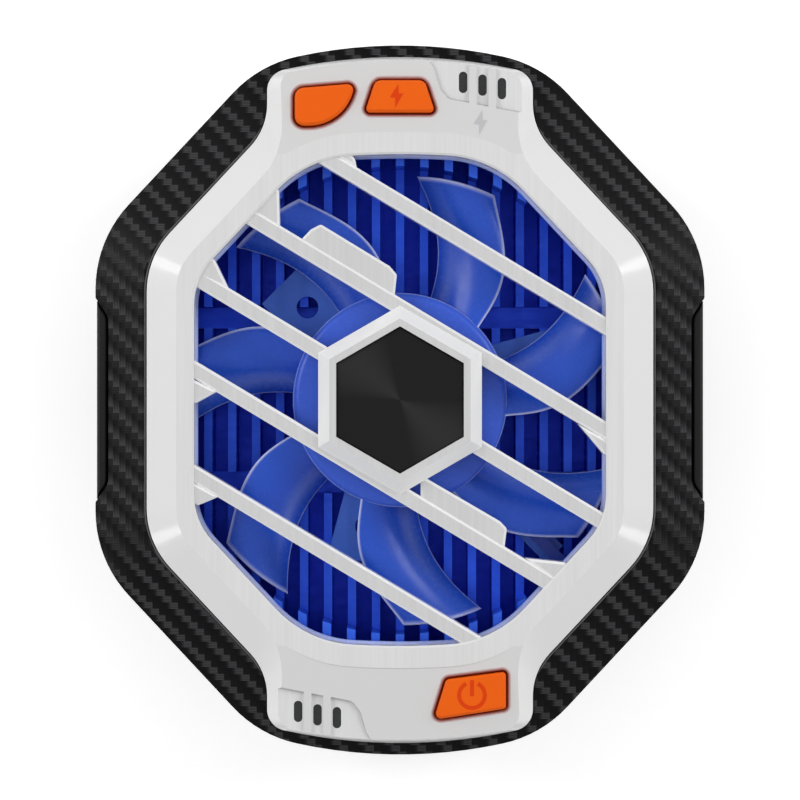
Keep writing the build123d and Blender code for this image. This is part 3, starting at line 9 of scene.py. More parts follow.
import bmesh
import bpy
import numpy as np
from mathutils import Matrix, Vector


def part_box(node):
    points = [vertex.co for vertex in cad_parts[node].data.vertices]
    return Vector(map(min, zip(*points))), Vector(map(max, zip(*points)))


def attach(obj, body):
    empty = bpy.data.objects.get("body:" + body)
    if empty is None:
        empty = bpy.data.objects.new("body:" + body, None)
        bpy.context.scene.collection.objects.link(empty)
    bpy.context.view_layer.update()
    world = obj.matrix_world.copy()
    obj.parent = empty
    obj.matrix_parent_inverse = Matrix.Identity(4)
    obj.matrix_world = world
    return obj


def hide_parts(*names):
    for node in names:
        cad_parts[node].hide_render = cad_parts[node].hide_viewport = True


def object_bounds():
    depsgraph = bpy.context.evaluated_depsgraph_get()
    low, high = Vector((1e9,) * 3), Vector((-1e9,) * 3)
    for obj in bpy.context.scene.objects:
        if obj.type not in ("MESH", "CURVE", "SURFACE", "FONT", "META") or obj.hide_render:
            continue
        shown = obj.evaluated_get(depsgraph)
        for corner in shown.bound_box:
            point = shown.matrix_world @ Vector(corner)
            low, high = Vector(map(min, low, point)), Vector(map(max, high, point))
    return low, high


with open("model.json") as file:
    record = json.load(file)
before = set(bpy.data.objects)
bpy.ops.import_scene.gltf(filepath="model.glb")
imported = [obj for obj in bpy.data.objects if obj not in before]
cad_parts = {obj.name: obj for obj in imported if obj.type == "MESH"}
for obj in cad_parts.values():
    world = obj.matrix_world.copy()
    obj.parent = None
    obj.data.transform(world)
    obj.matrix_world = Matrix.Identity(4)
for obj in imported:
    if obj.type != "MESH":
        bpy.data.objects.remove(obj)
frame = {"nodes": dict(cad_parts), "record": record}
cad_low, cad_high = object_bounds()
nodes = frame["nodes"]

MM = 0.001
# Camera over the middle: its height above the part's foot, and millimetres of sensor and lens
CAMERA_HEIGHT = 374 * MM
SENSOR = 36.0
LENS = 126.45

# The floor's half side, and how much it glows to the camera so that its white stays white
FLOOR_HALF = 3.0
FLOOR_LIFT = 0.34
# Light of the world at the horizon, at the waist and overhead, and how far up the waist is
WORLD_LEVELS = (0.35, 0.72, 0.45)
WAIST_HEIGHT = 0.5
# Lamps on the right: place, size and watts. The left has the same, and the corners both ends too.
SIDE_LAMP = ((0.42, 0.18, 0.38), 0.25, 1.1)
CORNER_LAMP = ((0.55, 0.23, 0.19), 0.08, 0.1)

# Fan: how many blades, where the first one's axis points, and their sizes
BLADE_COUNT = 7
BLADE_AXIS = math.radians(66.0)
BLADE_THICKNESS = 0.8 * MM
BLADE_TIP_ROUND = 0.3 * MM
BLADE_TIP = 27.4 * MM
BLADE_ROOT = 12.4 * MM
# Shares of the tip radius: places along a blade's axis, then how far off it each edge is there
BLADE_ALONG = (0.40, 0.547, 0.693, 0.839, 1.022)
BLADE_LEADING = (-0.182, -0.204, -0.195, -0.128, 0.0)
BLADE_TRAILING = (0.058, 0.073, 0.124, 0.226, 0.449)
# The edges' heights at root and tip as shares of the rotor's, and camber as a share of width
LEADING_HEIGHTS = (0.96, 0.70)
TRAILING_HEIGHTS = (0.10, 0.24)
BLADE_CAMBER = 0.12
# Rows along each blade, and points round each row
BLADE_ROWS = 44
BLADE_COLUMNS = 56
# Share of the rows before the tip rounds off, and how full the blade's section is near its edges
BLADE_STRAIGHT = 0.85
BLADE_FULLNESS = 0.4
# Rounds in which the share along a blade settles, since it depends on the share across
SETTLING_ROUNDS = 30
# Hub: a cup with a rounded rim, turned in even steps about a fine hole on the axis
HUB_RADIUS = 13.0 * MM
HUB_WALL = 1.2 * MM
HUB_ROUND = 1.0 * MM
HUB_BORE = 0.1 * MM
HUB_STEPS = 128
HUB_ROUND_POINTS = 9
# Radii between which the hub's top is painted pale, a painted highlight where the rim rounds over
HUB_HIGHLIGHT_RIM = (12.8 * MM, 12.9 * MM)
# Points nearer than this are made one where a new piece's seam closes
SEAM = 0.002 * MM

# Printed marks: middles and sizes on the tabs, and the power sign's arc in degrees
MARK_RISE = 0.02 * MM
FRAME_BOLT = (9.61 * MM, 33.15 * MM)
FRAME_BOLT_HEIGHT = 3.07 * MM
BUTTON_BOLT = (-0.42 * MM, 36.27 * MM)
BUTTON_BOLT_HEIGHT = 2.87 * MM
POWER_MARK = (8.59 * MM, -35.21 * MM)
POWER_RADIUS = 1.53 * MM
POWER_STROKE = 0.48 * MM
POWER_BAR = (1.78 * MM, -0.13 * MM)
POWER_ARC = (117.0, 423.0)
POWER_POINTS = 48
# Corners of the lightning bolt, as shares of its height from its middle
BOLT = ((0.08, 0.5), (-0.28, -0.05), (-0.06, -0.09), (-0.05, -0.5), (0.29, 0.11), (0.1, 0.1))

# Painted red bounce of light on the tab, a painted reflection of the button: the button's chamfer
# and gap, then the ring's width and points
BUTTON_CHAMFER = 0.3 * MM
BUTTON_GAP = 0.25 * MM
GLOW_WIDTH = 0.4 * MM
GLOW_POINTS = 5

# The tabs fall away from the level band round the opening, by this much for each metre outwards
TAB_FALL = 0.6 / 13.68
TAB_FALL_START = 29.4 * MM

# The middle of a noise's values, over which a finish changes
NOISE_SPAN = (0.3, 0.7)
# Scales of noise per metre for each axis, which draw it out into the lines that each making leaves
MILLED = (60.0, 5000.0, 5000.0)
STACKED = (60.0, 60.0, 6000.0)
WOUND = (200.0, 200.0, 5000.0)
GROUND_ROUND = (60.0, 60.0, 5000.0)
PRESSED = (2500.0, 60.0, 60.0)
DRAWN = (4000.0, 60.0, 60.0)
REAMED = (3000.0, 3000.0, 60.0)
TURNED = (2500.0, 2500.0, 60.0)
LITTLE_GLOSS = {"Specular_IOR_Level": 0.12}
SOME_GLOSS = {"Specular_IOR_Level": 0.2}

WEAVE_CELL = 0.79 * MM
FIBRES_PER_CELL = 4
# Tone of the white plastic on its steep rounded-over edges, painted darker as a painted shade
PAINTED_STEEP_SHADE = 182
# Upward part of the normal on the shell's bevelled inner edge, which is painted pale as a painted
# highlight
HIGHLIGHT_BEVEL_RISE = math.sqrt(0.5)


class Finish:
    """One node material. Sockets that are even all over are set on the shader itself."""

    def __init__(self, name, **sockets):
        self.material = bpy.data.materials.new(name)
        self.material.use_nodes = True
        self.tree = self.material.node_tree
        self.shader = self.tree.nodes["Principled BSDF"]
        for socket, value in sockets.items():
            self.shader.inputs[socket.replace("_", " ")].default_value = value

    def add(self, kind, inputs=(), **settings):
        """A new node. inputs maps its sockets to values or to the sockets that feed them."""
        node = self.tree.nodes.new("ShaderNode" + kind)
        for key, value in settings.items():
            setattr(node, key, value)
        for key, value in dict(inputs).items():
            self.feed(node.inputs[key], value)
        return node

    def feed(self, socket, value):
        """Links a socket to what feeds it, or sets its value."""
        if isinstance(value, bpy.types.NodeSocket):
            self.tree.links.new(value, socket)
        else:
            socket.default_value = value

    def math(self, operation, *values):
        """One Math node's result."""
        node = self.add("Math", dict(enumerate(values)), operation=operation)
        return node.outputs[0]

    def place(self):
        """The x, y and z of Object coordinates."""
        coordinates = self.add("TexCoord")
        parts = self.add("SeparateXYZ", {0: coordinates.outputs["Object"]})
        return coordinates.outputs["Object"], parts.outputs

    def radius(self):
        """Distance from the fan's axis."""
        _, place = self.place()
        squares = [self.math("MULTIPLY", place[axis], place[axis]) for axis in range(2)]
        return self.math("SQRT", self.math("ADD", *squares))

    def facing(self):
        """The x, y and z of the surface's normal."""
        return self.add("SeparateXYZ", {0: self.add("NewGeometry").outputs["Normal"]}).outputs

    def stretched(self, scale):
        """Object coordinates with a scale for each axis, per metre."""
        coordinates = self.add("TexCoord")
        mapping = self.add("Mapping", {"Vector": coordinates.outputs["Object"], "Scale": scale})
        return mapping.outputs[0]

    def noise(self, scale, detail=2.0):
        """Noise from 0 to 1, of the given scale per metre: one number, or one for each axis."""
        even = isinstance(scale, float)
        source = self.place()[0] if even else self.stretched(scale)
        sockets = {"Vector": source, "Scale": scale if even else 1.0, "Detail": detail}
        return self.add("TexNoise", sockets).outputs["Fac"]

    def ramp(self, factor, stops):
        """A colour ramp of (position, colour) stops."""
        node = self.add("ValToRGB", {0: factor})
        while len(node.color_ramp.elements) < len(stops):
            node.color_ramp.elements.new(0.5)
        for element, (position, colour) in zip(node.color_ramp.elements, stops):
            element.position = position
            element.color = colour
        return node.outputs[0]

    def mix(self, factor, low, high):
        """A mix of two colours."""
        node = self.add("Mix", data_type="RGBA")
        self.feed(node.inputs["Factor"], factor)
        self.feed(node.inputs[6], low)
        self.feed(node.inputs[7], high)
        return node.outputs[2]

    def between(self, factor, low, high):
        """A number that is low where the factor is 0 and high where it is 1."""
        node = self.add("Mix", {0: factor, 2: low, 3: high})
        return node.outputs[0]

    def span(self, value, low, high, start=0.0, end=1.0):
        """A value carried from the span low..high to start..end, and held at its ends."""
        node = self.add("MapRange", {0: value, 1: low, 2: high, 3: start, 4: end})
        return node.outputs[0]

    def bump(self, height, depth, strength=1.0):
        """Feeds the shader's normal from a height of 0 to 1 that is that deep, in metres."""
        node = self.add("Bump", {"Height": height, "Distance": depth, "Strength": strength})
        self.feed(self.shader.inputs["Normal"], node.outputs[0])

    def clear_gloss(self, low, high):
        """The roughness and faint relief of clear plastic, from one fine noise."""
        fine = self.noise(1500.0)
        self.roughness(self.span(fine, *NOISE_SPAN, low, high))
        self.bump(fine, 0.001 * MM)

    def colour(self, value):
        """Feeds the shader's colour."""
        self.feed(self.shader.inputs["Base Color"], value)

    def roughness(self, value):
        """Feeds the shader's roughness."""
        self.feed(self.shader.inputs["Roughness"], value)


def rgba(red, green, blue):
    """A screen colour of 0..255 as the linear colour that shows it."""
    share = np.array([red, green, blue]) / 255
    linear = np.where(share <= 0.04045, share / 12.92, ((share + 0.055) / 1.055) ** 2.4)
    return (*linear.tolist(), 1.0)


def grey(tone):
    """A grey, with one tone of 0..255 for all three colours."""
    return rgba(tone, tone, tone)


def plastic(name, low, high, roughness, grain=4000.0, depth=0.004 * MM, **sockets):
    """Moulded plastic: a fine spark-eroded grain, with its tone drifting between two colours."""
    made = Finish(name, **sockets)
    drift = made.noise(120.0, 3.0)
    made.colour(made.mix(drift, rgba(*low), rgba(*high)))
    fine = made.noise(grain, 3.0)
    made.roughness(made.span(fine, *NOISE_SPAN, roughness - 0.05, roughness + 0.05))
    made.bump(fine, depth)
    return made


def metal(name, low, high, roughness, streak, depth=0.003 * MM, **sockets):
    """Metal with mill lines: noise drawn out along one axis gives its tone, gloss and relief."""
    made = Finish(name, Metallic=1.0, **sockets)
    lines = made.noise(streak, 3.0)
    made.colour(made.mix(lines, rgba(*low), rgba(*high)))
    made.roughness(made.span(lines, *NOISE_SPAN, roughness - 0.06, roughness + 0.06))
    made.bump(lines, depth)
    return made


def frame_plastic(name, slope, near_level, level_high, level_low):
    """Satin white plastic under a clear coat.

    It is a shade deeper and faintly brushed along Y where it lies level, while its sloped faces are
    painted lighter as a painted highlight. Its steep edges are painted darker as a painted shade.
    """
    made = Finish(name, Specular_IOR_Level=0.4, Coat_Weight=1.0, Coat_Roughness=0.14)
    lines = made.noise((2600.0, 60.0, 60.0))
    broad = made.noise((420.0, 12.0, 12.0))
    upward = made.facing()[2]
    level = made.span(upward, 0.9992, 0.9999)
    streaks = made.between(0.4, lines, broad)
    brushed = made.mix(made.span(streaks, *NOISE_SPAN), grey(level_high), grey(level_low))
    # Painted highlight: sloped faces get the lighter slope tone, nearly level faces the deeper one
    painted_slope_light = made.mix(made.span(upward, 0.97, 0.995), grey(slope), grey(near_level))
    # Painted shade: steep rounded-over edges are painted a darker grey
    steep = made.math("MULTIPLY", made.span(upward, 0.55, 0.45), made.span(upward, 0.1, 0.2))
    made.colour(made.mix(steep, made.mix(level, painted_slope_light, brushed), grey(PAINTED_STEEP_SHADE)))
    fine = made.noise(3000.0)
    made.roughness(made.span(fine, *NOISE_SPAN, 0.42, 0.52))
    brushing = made.math("MULTIPLY", made.math("MULTIPLY", lines, level), 0.4)
    made.bump(made.math("ADD", brushing, fine), 0.002 * MM)
    return made


def carbon_weave():
    """Two-by-two twill under a thin clear coat.

    Threads lie along x and y in square cells; on the walls they lie round the body and along z. In
    the cell (column, row) the thread along x shows where (column + row) mod 4 is under 2. Each
    thread shows for two cells, along which its tone rises or falls. As a painted sheen, strands
    along x are painted brighter where the surface leans to the ends, and strands along y where it
    leans to the sides. The bevelled edge is painted pale grey as a painted highlight.
    """
    made = Finish("woven carbon", Coat_Weight=0.03, Coat_Roughness=0.3, Specular_IOR_Level=0.04)
    _, place = made.place()
    normal = made.facing()
    wall = made.math("LESS_THAN", normal[2], 0.5)
    round_wall = made.math(
        "SUBTRACT",
        made.math("MULTIPLY", place[1], normal[0]),
        made.math("MULTIPLY", place[0], normal[1]),
    )
    column = made.math("DIVIDE", made.between(wall, place[0], round_wall), WEAVE_CELL)
    row = made.math("DIVIDE", made.between(wall, place[1], place[2]), WEAVE_CELL)
    step = made.math("ADD", made.math("FLOOR", column), made.math("FLOOR", row))
    index = made.math("FLOORED_MODULO", step, 4.0)
    weft = made.math("LESS_THAN", index, 1.5)
    along_weft = made.math("ADD", index, made.math("FRACT", column))
    along_warp = made.math("ADD", made.math("SUBTRACT", index, 2.0), made.math("FRACT", row))
    # Painted sheen: each thread's tone is scaled by how far the surface leans along y
    lean = made.math("ABSOLUTE", normal[1])
    tones = []
    for along, ends, across, painted_sheen_gains in (
        (along_weft, (0.1, 0.9, 0.2, 0.9), row, (0.7, 1.1)),
        (along_warp, (0.0, 2.0, 1.0, 0.4), column, (1.15, 0.4)),
    ):
        fibre = made.math("SINE", made.math("MULTIPLY", across, math.tau * FIBRES_PER_CELL))
        strands = made.span(fibre, -1.0, 1.0, 0.6, 1.0)
        tone = made.math("MULTIPLY", made.span(along, *ends), strands)
        tones.append(made.math("MULTIPLY", tone, made.span(lean, 0.02, 0.25, *painted_sheen_gains)))
    tone = made.between(weft, tones[1], tones[0])
    weave = made.ramp(tone, [(0.0, grey(4)), (0.5, rgba(24, 24, 25)), (1.0, rgba(68, 68, 70))])
    # Painted highlight: the bevelled inner edge is painted pale grey
    off_bevel = made.math("ABSOLUTE", made.math("SUBTRACT", normal[2], HIGHLIGHT_BEVEL_RISE))
    made.colour(made.mix(made.span(off_bevel, 0.08, 0.04), weave, grey(120)))
    made.roughness(made.span(tone, 0.0, 1.0, 0.5, 0.4))
    over_thread = made.math("FRACT", made.between(weft, column, row))
    made.bump(made.math("SINE", made.math("MULTIPLY", over_thread, math.pi)), 0.03 * MM, 0.4)
    return made


def jaw_plastic():
    """Black jaw with soft lines along Y, as its mould was polished."""
    made = Finish("black jaw", Specular_IOR_Level=0.2)
    lines = made.noise((3500.0, 60.0, 60.0), 3.0)
    made.colour(made.mix(made.span(lines, *NOISE_SPAN), grey(6), grey(20)))
    made.roughness(made.span(lines, *NOISE_SPAN, 0.4, 0.5))
    made.bump(lines, 0.003 * MM)
    return made


def spun_badge():
    """Black face with fine rings and a painted sheen in soft rays: the tone follows the turn round
    the middle.
    """
    made = Finish("spun black", Specular_IOR_Level=0.12)
    _, place = made.place()
    turn = made.math("ARCTAN2", place[1], place[0])
    outward = made.add("CombineXYZ", {0: made.math("MULTIPLY", made.radius(), 9000.0)})
    rings = made.add("TexNoise", {"Vector": outward.outputs[0], "Scale": 1.0}).outputs["Fac"]
    # Painted sheen: soft rays of lighter tone that follow the turn round the middle
    rays = made.math("COSINE", made.math("MULTIPLY", made.math("ADD", turn, 0.7), 2.0))
    sheen = made.span(rays, 0.2, 1.0)
    tone = made.math("ADD", made.math("MULTIPLY", sheen, 0.6), made.math("MULTIPLY", rings, 0.4))
    made.colour(made.ramp(tone, [(0.0, grey(10)), (1.0, rgba(44, 44, 45))]))
    made.roughness(made.span(rings, *NOISE_SPAN, 0.3, 0.4))
    made.bump(rings, 0.002 * MM)
    return made


def fin_metal():
    """Blue anodised fins with mill lines, painted lighter at their tops and darker to the floor:
    painted shade between the fins.
    """
    made = Finish("blue anodised fins", Metallic=0.3, Specular_IOR_Level=0.25)
    _, place = made.place()
    floor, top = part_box("heatsink")
    # Painted shade: the blue darkens from the fins' tops down to the floor between them
    depth = made.span(place[2], floor.z + 2 * MM, top.z - 4 * MM)
    lines = made.noise((600.0, 2400.0, 60.0))
    painted_shade_blues = [(0.0, rgba(24, 66, 240)), (0.7, rgba(38, 88, 232)), (1.0, rgba(56, 108, 236))]
    deep = made.ramp(depth, painted_shade_blues)
    made.colour(made.mix(made.math("MULTIPLY", lines, 0.3), deep, rgba(30, 62, 225)))
    made.roughness(made.span(lines, *NOISE_SPAN, 0.35, 0.5))
    made.bump(lines, 0.003 * MM)
    return made


def clear_blue(name, low, high, cover):
    """Translucent blue plastic that covers only a share of what lies behind it."""
    made = Finish(name, Alpha=cover, Specular_IOR_Level=0.25)
    made.colour(made.mix(made.noise(150.0), rgba(*low), rgba(*high)))
    made.clear_gloss(0.2, 0.3)
    return made


def hub_plastic():
    """Milky blue, with a painted highlight: a pale line on its top where the rim rounds over."""
    made = Finish("blue hub plastic", Alpha=0.86, Specular_IOR_Level=0.25)
    on_top = made.span(made.facing()[2], 0.1, 0.4)
    # Painted highlight: a pale line on the hub's top at the rim
    rim = made.math("MULTIPLY", made.span(made.radius(), *HUB_HIGHLIGHT_RIM), on_top)
    body = made.mix(made.noise(150.0), rgba(58, 94, 214), rgba(68, 106, 222))
    made.colour(made.mix(rim, body, rgba(150, 168, 236)))
    made.clear_gloss(0.2, 0.3)
    return made


def blade_plastic():
    """Translucent blue with painted highlights: pale along its edges and tips, and a pale band by
    the trailing edge.
    """
    made = Finish("blue fan plastic", Alpha=0.86, Specular_IOR_Level=0.3)
    across = made.add("Attribute", attribute_name="across").outputs["Fac"]
    along = made.add("Attribute", attribute_name="along").outputs["Fac"]
    body = made.mix(made.noise(150.0), rgba(34, 78, 198), rgba(46, 94, 210))
    # Painted highlight: a pale band near the trailing edge, fading towards the root
    off_band = made.math("ABSOLUTE", made.math("SUBTRACT", across, 0.80))
    to_root = made.span(along, 0.75, 0.05, 0.1, 0.75)
    band = made.math("MULTIPLY", made.span(off_band, 0.16, 0.0), to_root)
    painted_band_light = made.mix(band, body, rgba(110, 132, 214))
    # Painted highlight along the leading and trailing edges and the tips
    leading = made.span(across, 0.045, 0.012)
    trailing = made.span(across, 0.98, 0.996, 0.0, 0.7)
    tip = made.span(along, 0.83, 0.88)
    edge = made.math("MAXIMUM", leading, made.math("MAXIMUM", trailing, tip))
    made.colour(made.mix(edge, painted_band_light, rgba(200, 208, 250)))
    made.clear_gloss(0.22, 0.3)
    return made


finishes = {
    # The first tone of the frame and of the grille is a painted highlight on their sloped faces
    "frame_white": frame_plastic("brushed white frame", 222, 207, 218, 209),
    "grille_white": frame_plastic("brushed white grille", 238, 211, 205, 195),
    "badge_black": spun_badge(),
    "shell_weave": carbon_weave(),
    "cover_black": plastic("black cover", (22, 22, 23), (30, 30, 31), 0.55, depth=0.02 * MM),
    "jaw_black": jaw_plastic(),
    "jaw_rubber": plastic("jaw rubber", (44, 44, 46), (54, 54, 56), 0.8, 2500.0, 0.02 * MM),
    "pad_silicone": plastic("silicone pad", (96, 98, 102), (110, 112, 116), 0.7, depth=0.01 * MM),
    "plate_aluminium": metal("brushed plate", (188, 190, 193), (212, 214, 216), 0.32, MILLED),
    "module_ceramic": plastic("white ceramic", (226, 225, 220), (238, 237, 233), 0.6),
    "fin_aluminium": fin_metal(),
    "fan_clear": blade_plastic(),
    "base_clear": clear_blue("blue base plastic", (88, 140, 255), (100, 152, 255), 0.6),
    "bush_brass": metal("bush brass", (186, 150, 80), (208, 172, 98), 0.3, REAMED),
    "board_green": plastic("board mask", (14, 62, 42), (20, 76, 50), 0.35, grain=1500.0),
    "core_steel": metal("stacked core steel", (118, 118, 122), (150, 150, 154), 0.4, STACKED),
    "coil_copper": metal("enamelled wire", (176, 92, 48), (206, 116, 64), 0.35, WOUND),
    "lead_black": plastic("blue lead sleeve", (30, 60, 165), (44, 84, 200), 0.4),
    "shaft_steel": metal("ground steel", (176, 176, 180), (206, 206, 210), 0.22, GROUND_ROUND),
    "magnet_black": plastic("bonded magnet", (44, 44, 46), (60, 60, 62), 0.6, 2500.0),
    "light_clear": plastic("light ring plastic", (150, 165, 225), (168, 182, 236), 0.3),
    "lamp_yellow": plastic("lamp phosphor", (236, 222, 150), (244, 232, 168), 0.4),
    "button_orange": plastic("orange button", (232, 92, 10), (238, 100, 16), 0.5, **LITTLE_GLOSS),
    "stem_white": plastic("stem plastic", (206, 206, 200), (218, 218, 212), 0.5),
    "switch_steel": metal("switch steel", (160, 160, 164), (188, 188, 192), 0.35, PRESSED),
    "window_smoke": plastic("smoked window", (40, 41, 42), (60, 61, 62), 0.25, **SOME_GLOSS),
    "socket_steel": metal("socket steel", (172, 172, 176), (200, 200, 204), 0.3, DRAWN),
    "pinion_nylon": plastic("pinion nylon", (222, 219, 206), (232, 229, 216), 0.5),
    "spring_steel": metal("spring steel", (146, 146, 150), (178, 178, 182), 0.3, REAMED),
    "screw_steel": metal("dark screw steel", (70, 70, 74), (98, 98, 102), 0.35, TURNED),
}

slot_of = {part["node"]: part["material_slot"] for part in frame["record"]["subparts"]}
for name, node in nodes.items():
    node.data.materials.clear()
    node.data.materials.append(finishes[slot_of[name]].material)


def new_piece(name, points, faces, slot, body, finish=None):
    """A mesh at its place in the frame, riding on a body, with its slot's finish or its own."""
    mesh = bpy.data.meshes.new(name)
    mesh.from_pydata(points.reshape(-1, 3).tolist(), [], faces)
    mesh.materials.append((finish or finishes[slot]).material)
    piece = bpy.data.objects.new(name, mesh)
    bpy.context.scene.collection.objects.link(piece)
    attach(piece, body)
    return piece


def grid_faces(rows, columns, closed_columns=False):
    """Quads between neighbouring rows and columns of a grid of points."""
    wide = columns if closed_columns else columns - 1
    row, column = np.meshgrid(np.arange(rows - 1), np.arange(wide), indexing="ij")
    after = (column + 1) % columns
    quads = (row * columns + column, row * columns + after,
             (row + 1) * columns + after, (row + 1) * columns + column)
    return np.stack(quads, -1).reshape(-1, 4)


def smooth(piece, angle=35.0):
    """Smooth shading, with edges sharper than an angle kept crisp."""
    piece.data.shade_smooth()
    piece.data.set_sharp_from_angle(angle=math.radians(angle))


def close_and_turn_out(piece):
    """Merges seams and points every face outwards."""
    mesh = bmesh.new()
    mesh.from_mesh(piece.data)
    bmesh.ops.remove_doubles(mesh, verts=mesh.verts, dist=SEAM)
    bmesh.ops.recalc_face_normals(mesh, faces=mesh.faces)
    mesh.to_mesh(piece.data)
    mesh.free()


def store_share(piece, name, values):
    """A number at each point, for a finish that follows the surface."""
    piece.data.attributes.new(name, "FLOAT", "POINT").data.foreach_set("value", values.ravel())


def blade_points(rows, columns):
    """One blade as rows of closed sections, with its share across and its share along.

    Section angle t runs from the leading edge (0) over the top to the trailing edge (pi) and back
    below. Its share across is a = (1 - cos t) / 2. Each row is at one radius r, which goes evenly
    from root to tip and then rounds off over the last rows, where the thickness falls to nothing.
    The edges' offsets from the axis are curves of the reach u along it, so u settles by rounds
    of u = sqrt(r^2 - side^2). The height falls straight from leading to trailing edge, plus a
    parabola 4 a (1 - a) and half the thickness, which goes as |sin t| to a power.
    """
    low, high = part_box("impeller")
    rotor_height = high.z - low.z
    t = np.linspace(0, math.tau, columns, endpoint=False)
    across = np.broadcast_to((1 - np.cos(t)) / 2, (rows, columns))
    turn = np.linspace(0, 1, rows)[:, None]
    rounding = np.clip((turn - BLADE_STRAIGHT) / (1 - BLADE_STRAIGHT), 0, 1) * math.pi / 2
    even = np.clip(turn / BLADE_STRAIGHT, 0, 1)
    straight_end = BLADE_TIP - BLADE_TIP_ROUND
    radius = BLADE_ROOT + (straight_end - BLADE_ROOT) * even + BLADE_TIP_ROUND * np.sin(rounding)
    leading = np.polyfit(BLADE_ALONG, BLADE_LEADING, 4)
    trailing = np.polyfit(BLADE_ALONG, BLADE_TRAILING, 4)
    along = np.broadcast_to(radius, (rows, columns)) / BLADE_TIP
    for _ in range(SETTLING_ROUNDS):
        start, end = np.polyval(leading, along), np.polyval(trailing, along)
        side = start + (end - start) * across
        along = np.sqrt((radius / BLADE_TIP) ** 2 - side**2)
    travel = (along - BLADE_ALONG[0]) / (BLADE_ALONG[-1] - BLADE_ALONG[0])
    top = LEADING_HEIGHTS[0] + (LEADING_HEIGHTS[1] - LEADING_HEIGHTS[0]) * travel
    foot = TRAILING_HEIGHTS[0] + (TRAILING_HEIGHTS[1] - TRAILING_HEIGHTS[0]) * travel
    start_z = low.z + rotor_height * top - BLADE_THICKNESS / 2
    end_z = low.z + rotor_height * foot + BLADE_THICKNESS / 2
    camber = (end - start) * BLADE_TIP * BLADE_CAMBER * 4 * across * (1 - across)
    wave = np.sin(t)
    half = np.sign(wave) * np.abs(wave) ** BLADE_FULLNESS * BLADE_THICKNESS / 2 * np.cos(rounding)
    height = start_z + (end_z - start_z) * across + camber + half
    angle = BLADE_AXIS + np.arctan2(side, along)
    points = np.stack([radius * np.cos(angle), radius * np.sin(angle), height], -1)
    return points, across, np.broadcast_to(turn, (rows, columns))


def ring_of_rotation(profile, steps):
    """A closed profile of (radius, height) points turned round the axis in even steps."""
    turn = np.linspace(0, math.tau, steps, endpoint=False)[:, None]
    radius, height = profile[:, 0], profile[:, 1]
    heights = np.broadcast_to(height, (steps, len(profile)))
    return np.stack([radius * np.cos(turn), radius * np.sin(turn), heights], -1)


def ring_faces(steps, around):
    """Quads of a closed profile of that many points turned through that many steps, and closed."""
    step, point = np.meshgrid(np.arange(steps), np.arange(around), indexing="ij")
    step, after = step * around, (step + 1) % steps * around
    beyond = (point + 1) % around
    quads = (step + point, after + point, after + beyond, step + beyond)
    return np.stack(quads, -1).reshape(-1, 4)


def make_fan():
    """Seven blades, each a turned copy of the first, and the hub's cup as a turned profile."""
    blade, across, along = blade_points(BLADE_ROWS, BLADE_COLUMNS)
    copies = np.arange(BLADE_COUNT)[:, None, None]
    turns = copies * math.tau / BLADE_COUNT
    cosine, sine = np.cos(turns), np.sin(turns)
    x, y = blade[..., 0], blade[..., 1]
    z = np.broadcast_to(blade[..., 2], (BLADE_COUNT, BLADE_ROWS, BLADE_COLUMNS))
    turned = np.stack([x * cosine - y * sine, x * sine + y * cosine, z], -1)
    faces = grid_faces(BLADE_ROWS, BLADE_COLUMNS, closed_columns=True)
    faces = (faces + copies * BLADE_ROWS * BLADE_COLUMNS).reshape(-1, 4).tolist()
    blades = new_piece("fan_blades", turned, faces, "fan_clear", "impeller")
    store_share(blades, "across", np.tile(across, (BLADE_COUNT, 1, 1)))
    store_share(blades, "along", np.tile(along, (BLADE_COUNT, 1, 1)))
    close_and_turn_out(blades)
    smooth(blades)

    low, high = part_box("impeller")
    bend = np.linspace(0, math.pi / 2, HUB_ROUND_POINTS)
    corner_radius = HUB_RADIUS - HUB_ROUND + HUB_ROUND * np.cos(bend)
    corner_height = high.z - HUB_ROUND + HUB_ROUND * np.sin(bend)
    outside = np.stack([corner_radius, corner_height], -1)
    inner, under = HUB_RADIUS - HUB_WALL, high.z - HUB_WALL
    inside = [(HUB_BORE, high.z), (HUB_BORE, under), (inner, under), (inner, low.z)]
    profile = np.concatenate([[(HUB_RADIUS, low.z)], outside, inside])
    points = ring_of_rotation(profile, HUB_STEPS)
    faces = ring_faces(HUB_STEPS, len(profile)).tolist()
    hub = new_piece("fan_hub", points, faces, "fan_clear", "impeller", hub_plastic())
    close_and_turn_out(hub)
    smooth(hub)
    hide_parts("impeller")


def tab_height(points):
    """Height of the tabs' tops at a set of points: the frame's, less the fall past the band."""
    past_band = np.clip(np.abs(points[..., 1]) - TAB_FALL_START, 0, None)
    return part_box("front_frame")[1].z - past_band * TAB_FALL


def slab(name, outline, top, slot, body, finish):
    """A flat mark: an outline carried up from just under a surface, whose height is top."""
    count = len(outline)
    flat = np.concatenate([outline, outline])
    height = (top + np.array([[-MARK_RISE], [MARK_RISE / 2]]) * np.ones(count)).reshape(-1, 1)
    faces = [list(range(count))[::-1], list(range(count, 2 * count))]
    near = np.arange(count)
    after = (near + 1) % count
    faces += np.stack([near, after, after + count, near + count], -1).tolist()
    piece = new_piece(name, np.concatenate([flat, height], 1), faces, slot, body, finish)
    close_and_turn_out(piece)
    return piece


def stroke(name, path, width, top, slot, body, finish):
    """A flat line: each point of an open path goes out half the width to both sides."""
    along = np.gradient(path, axis=0)
    along /= np.linalg.norm(along, axis=1, keepdims=True)
    side = np.stack([-along[:, 1], along[:, 0]], -1) * width / 2
    return slab(name, np.concatenate([path + side, (path - side)[::-1]]), top, slot, body, finish)


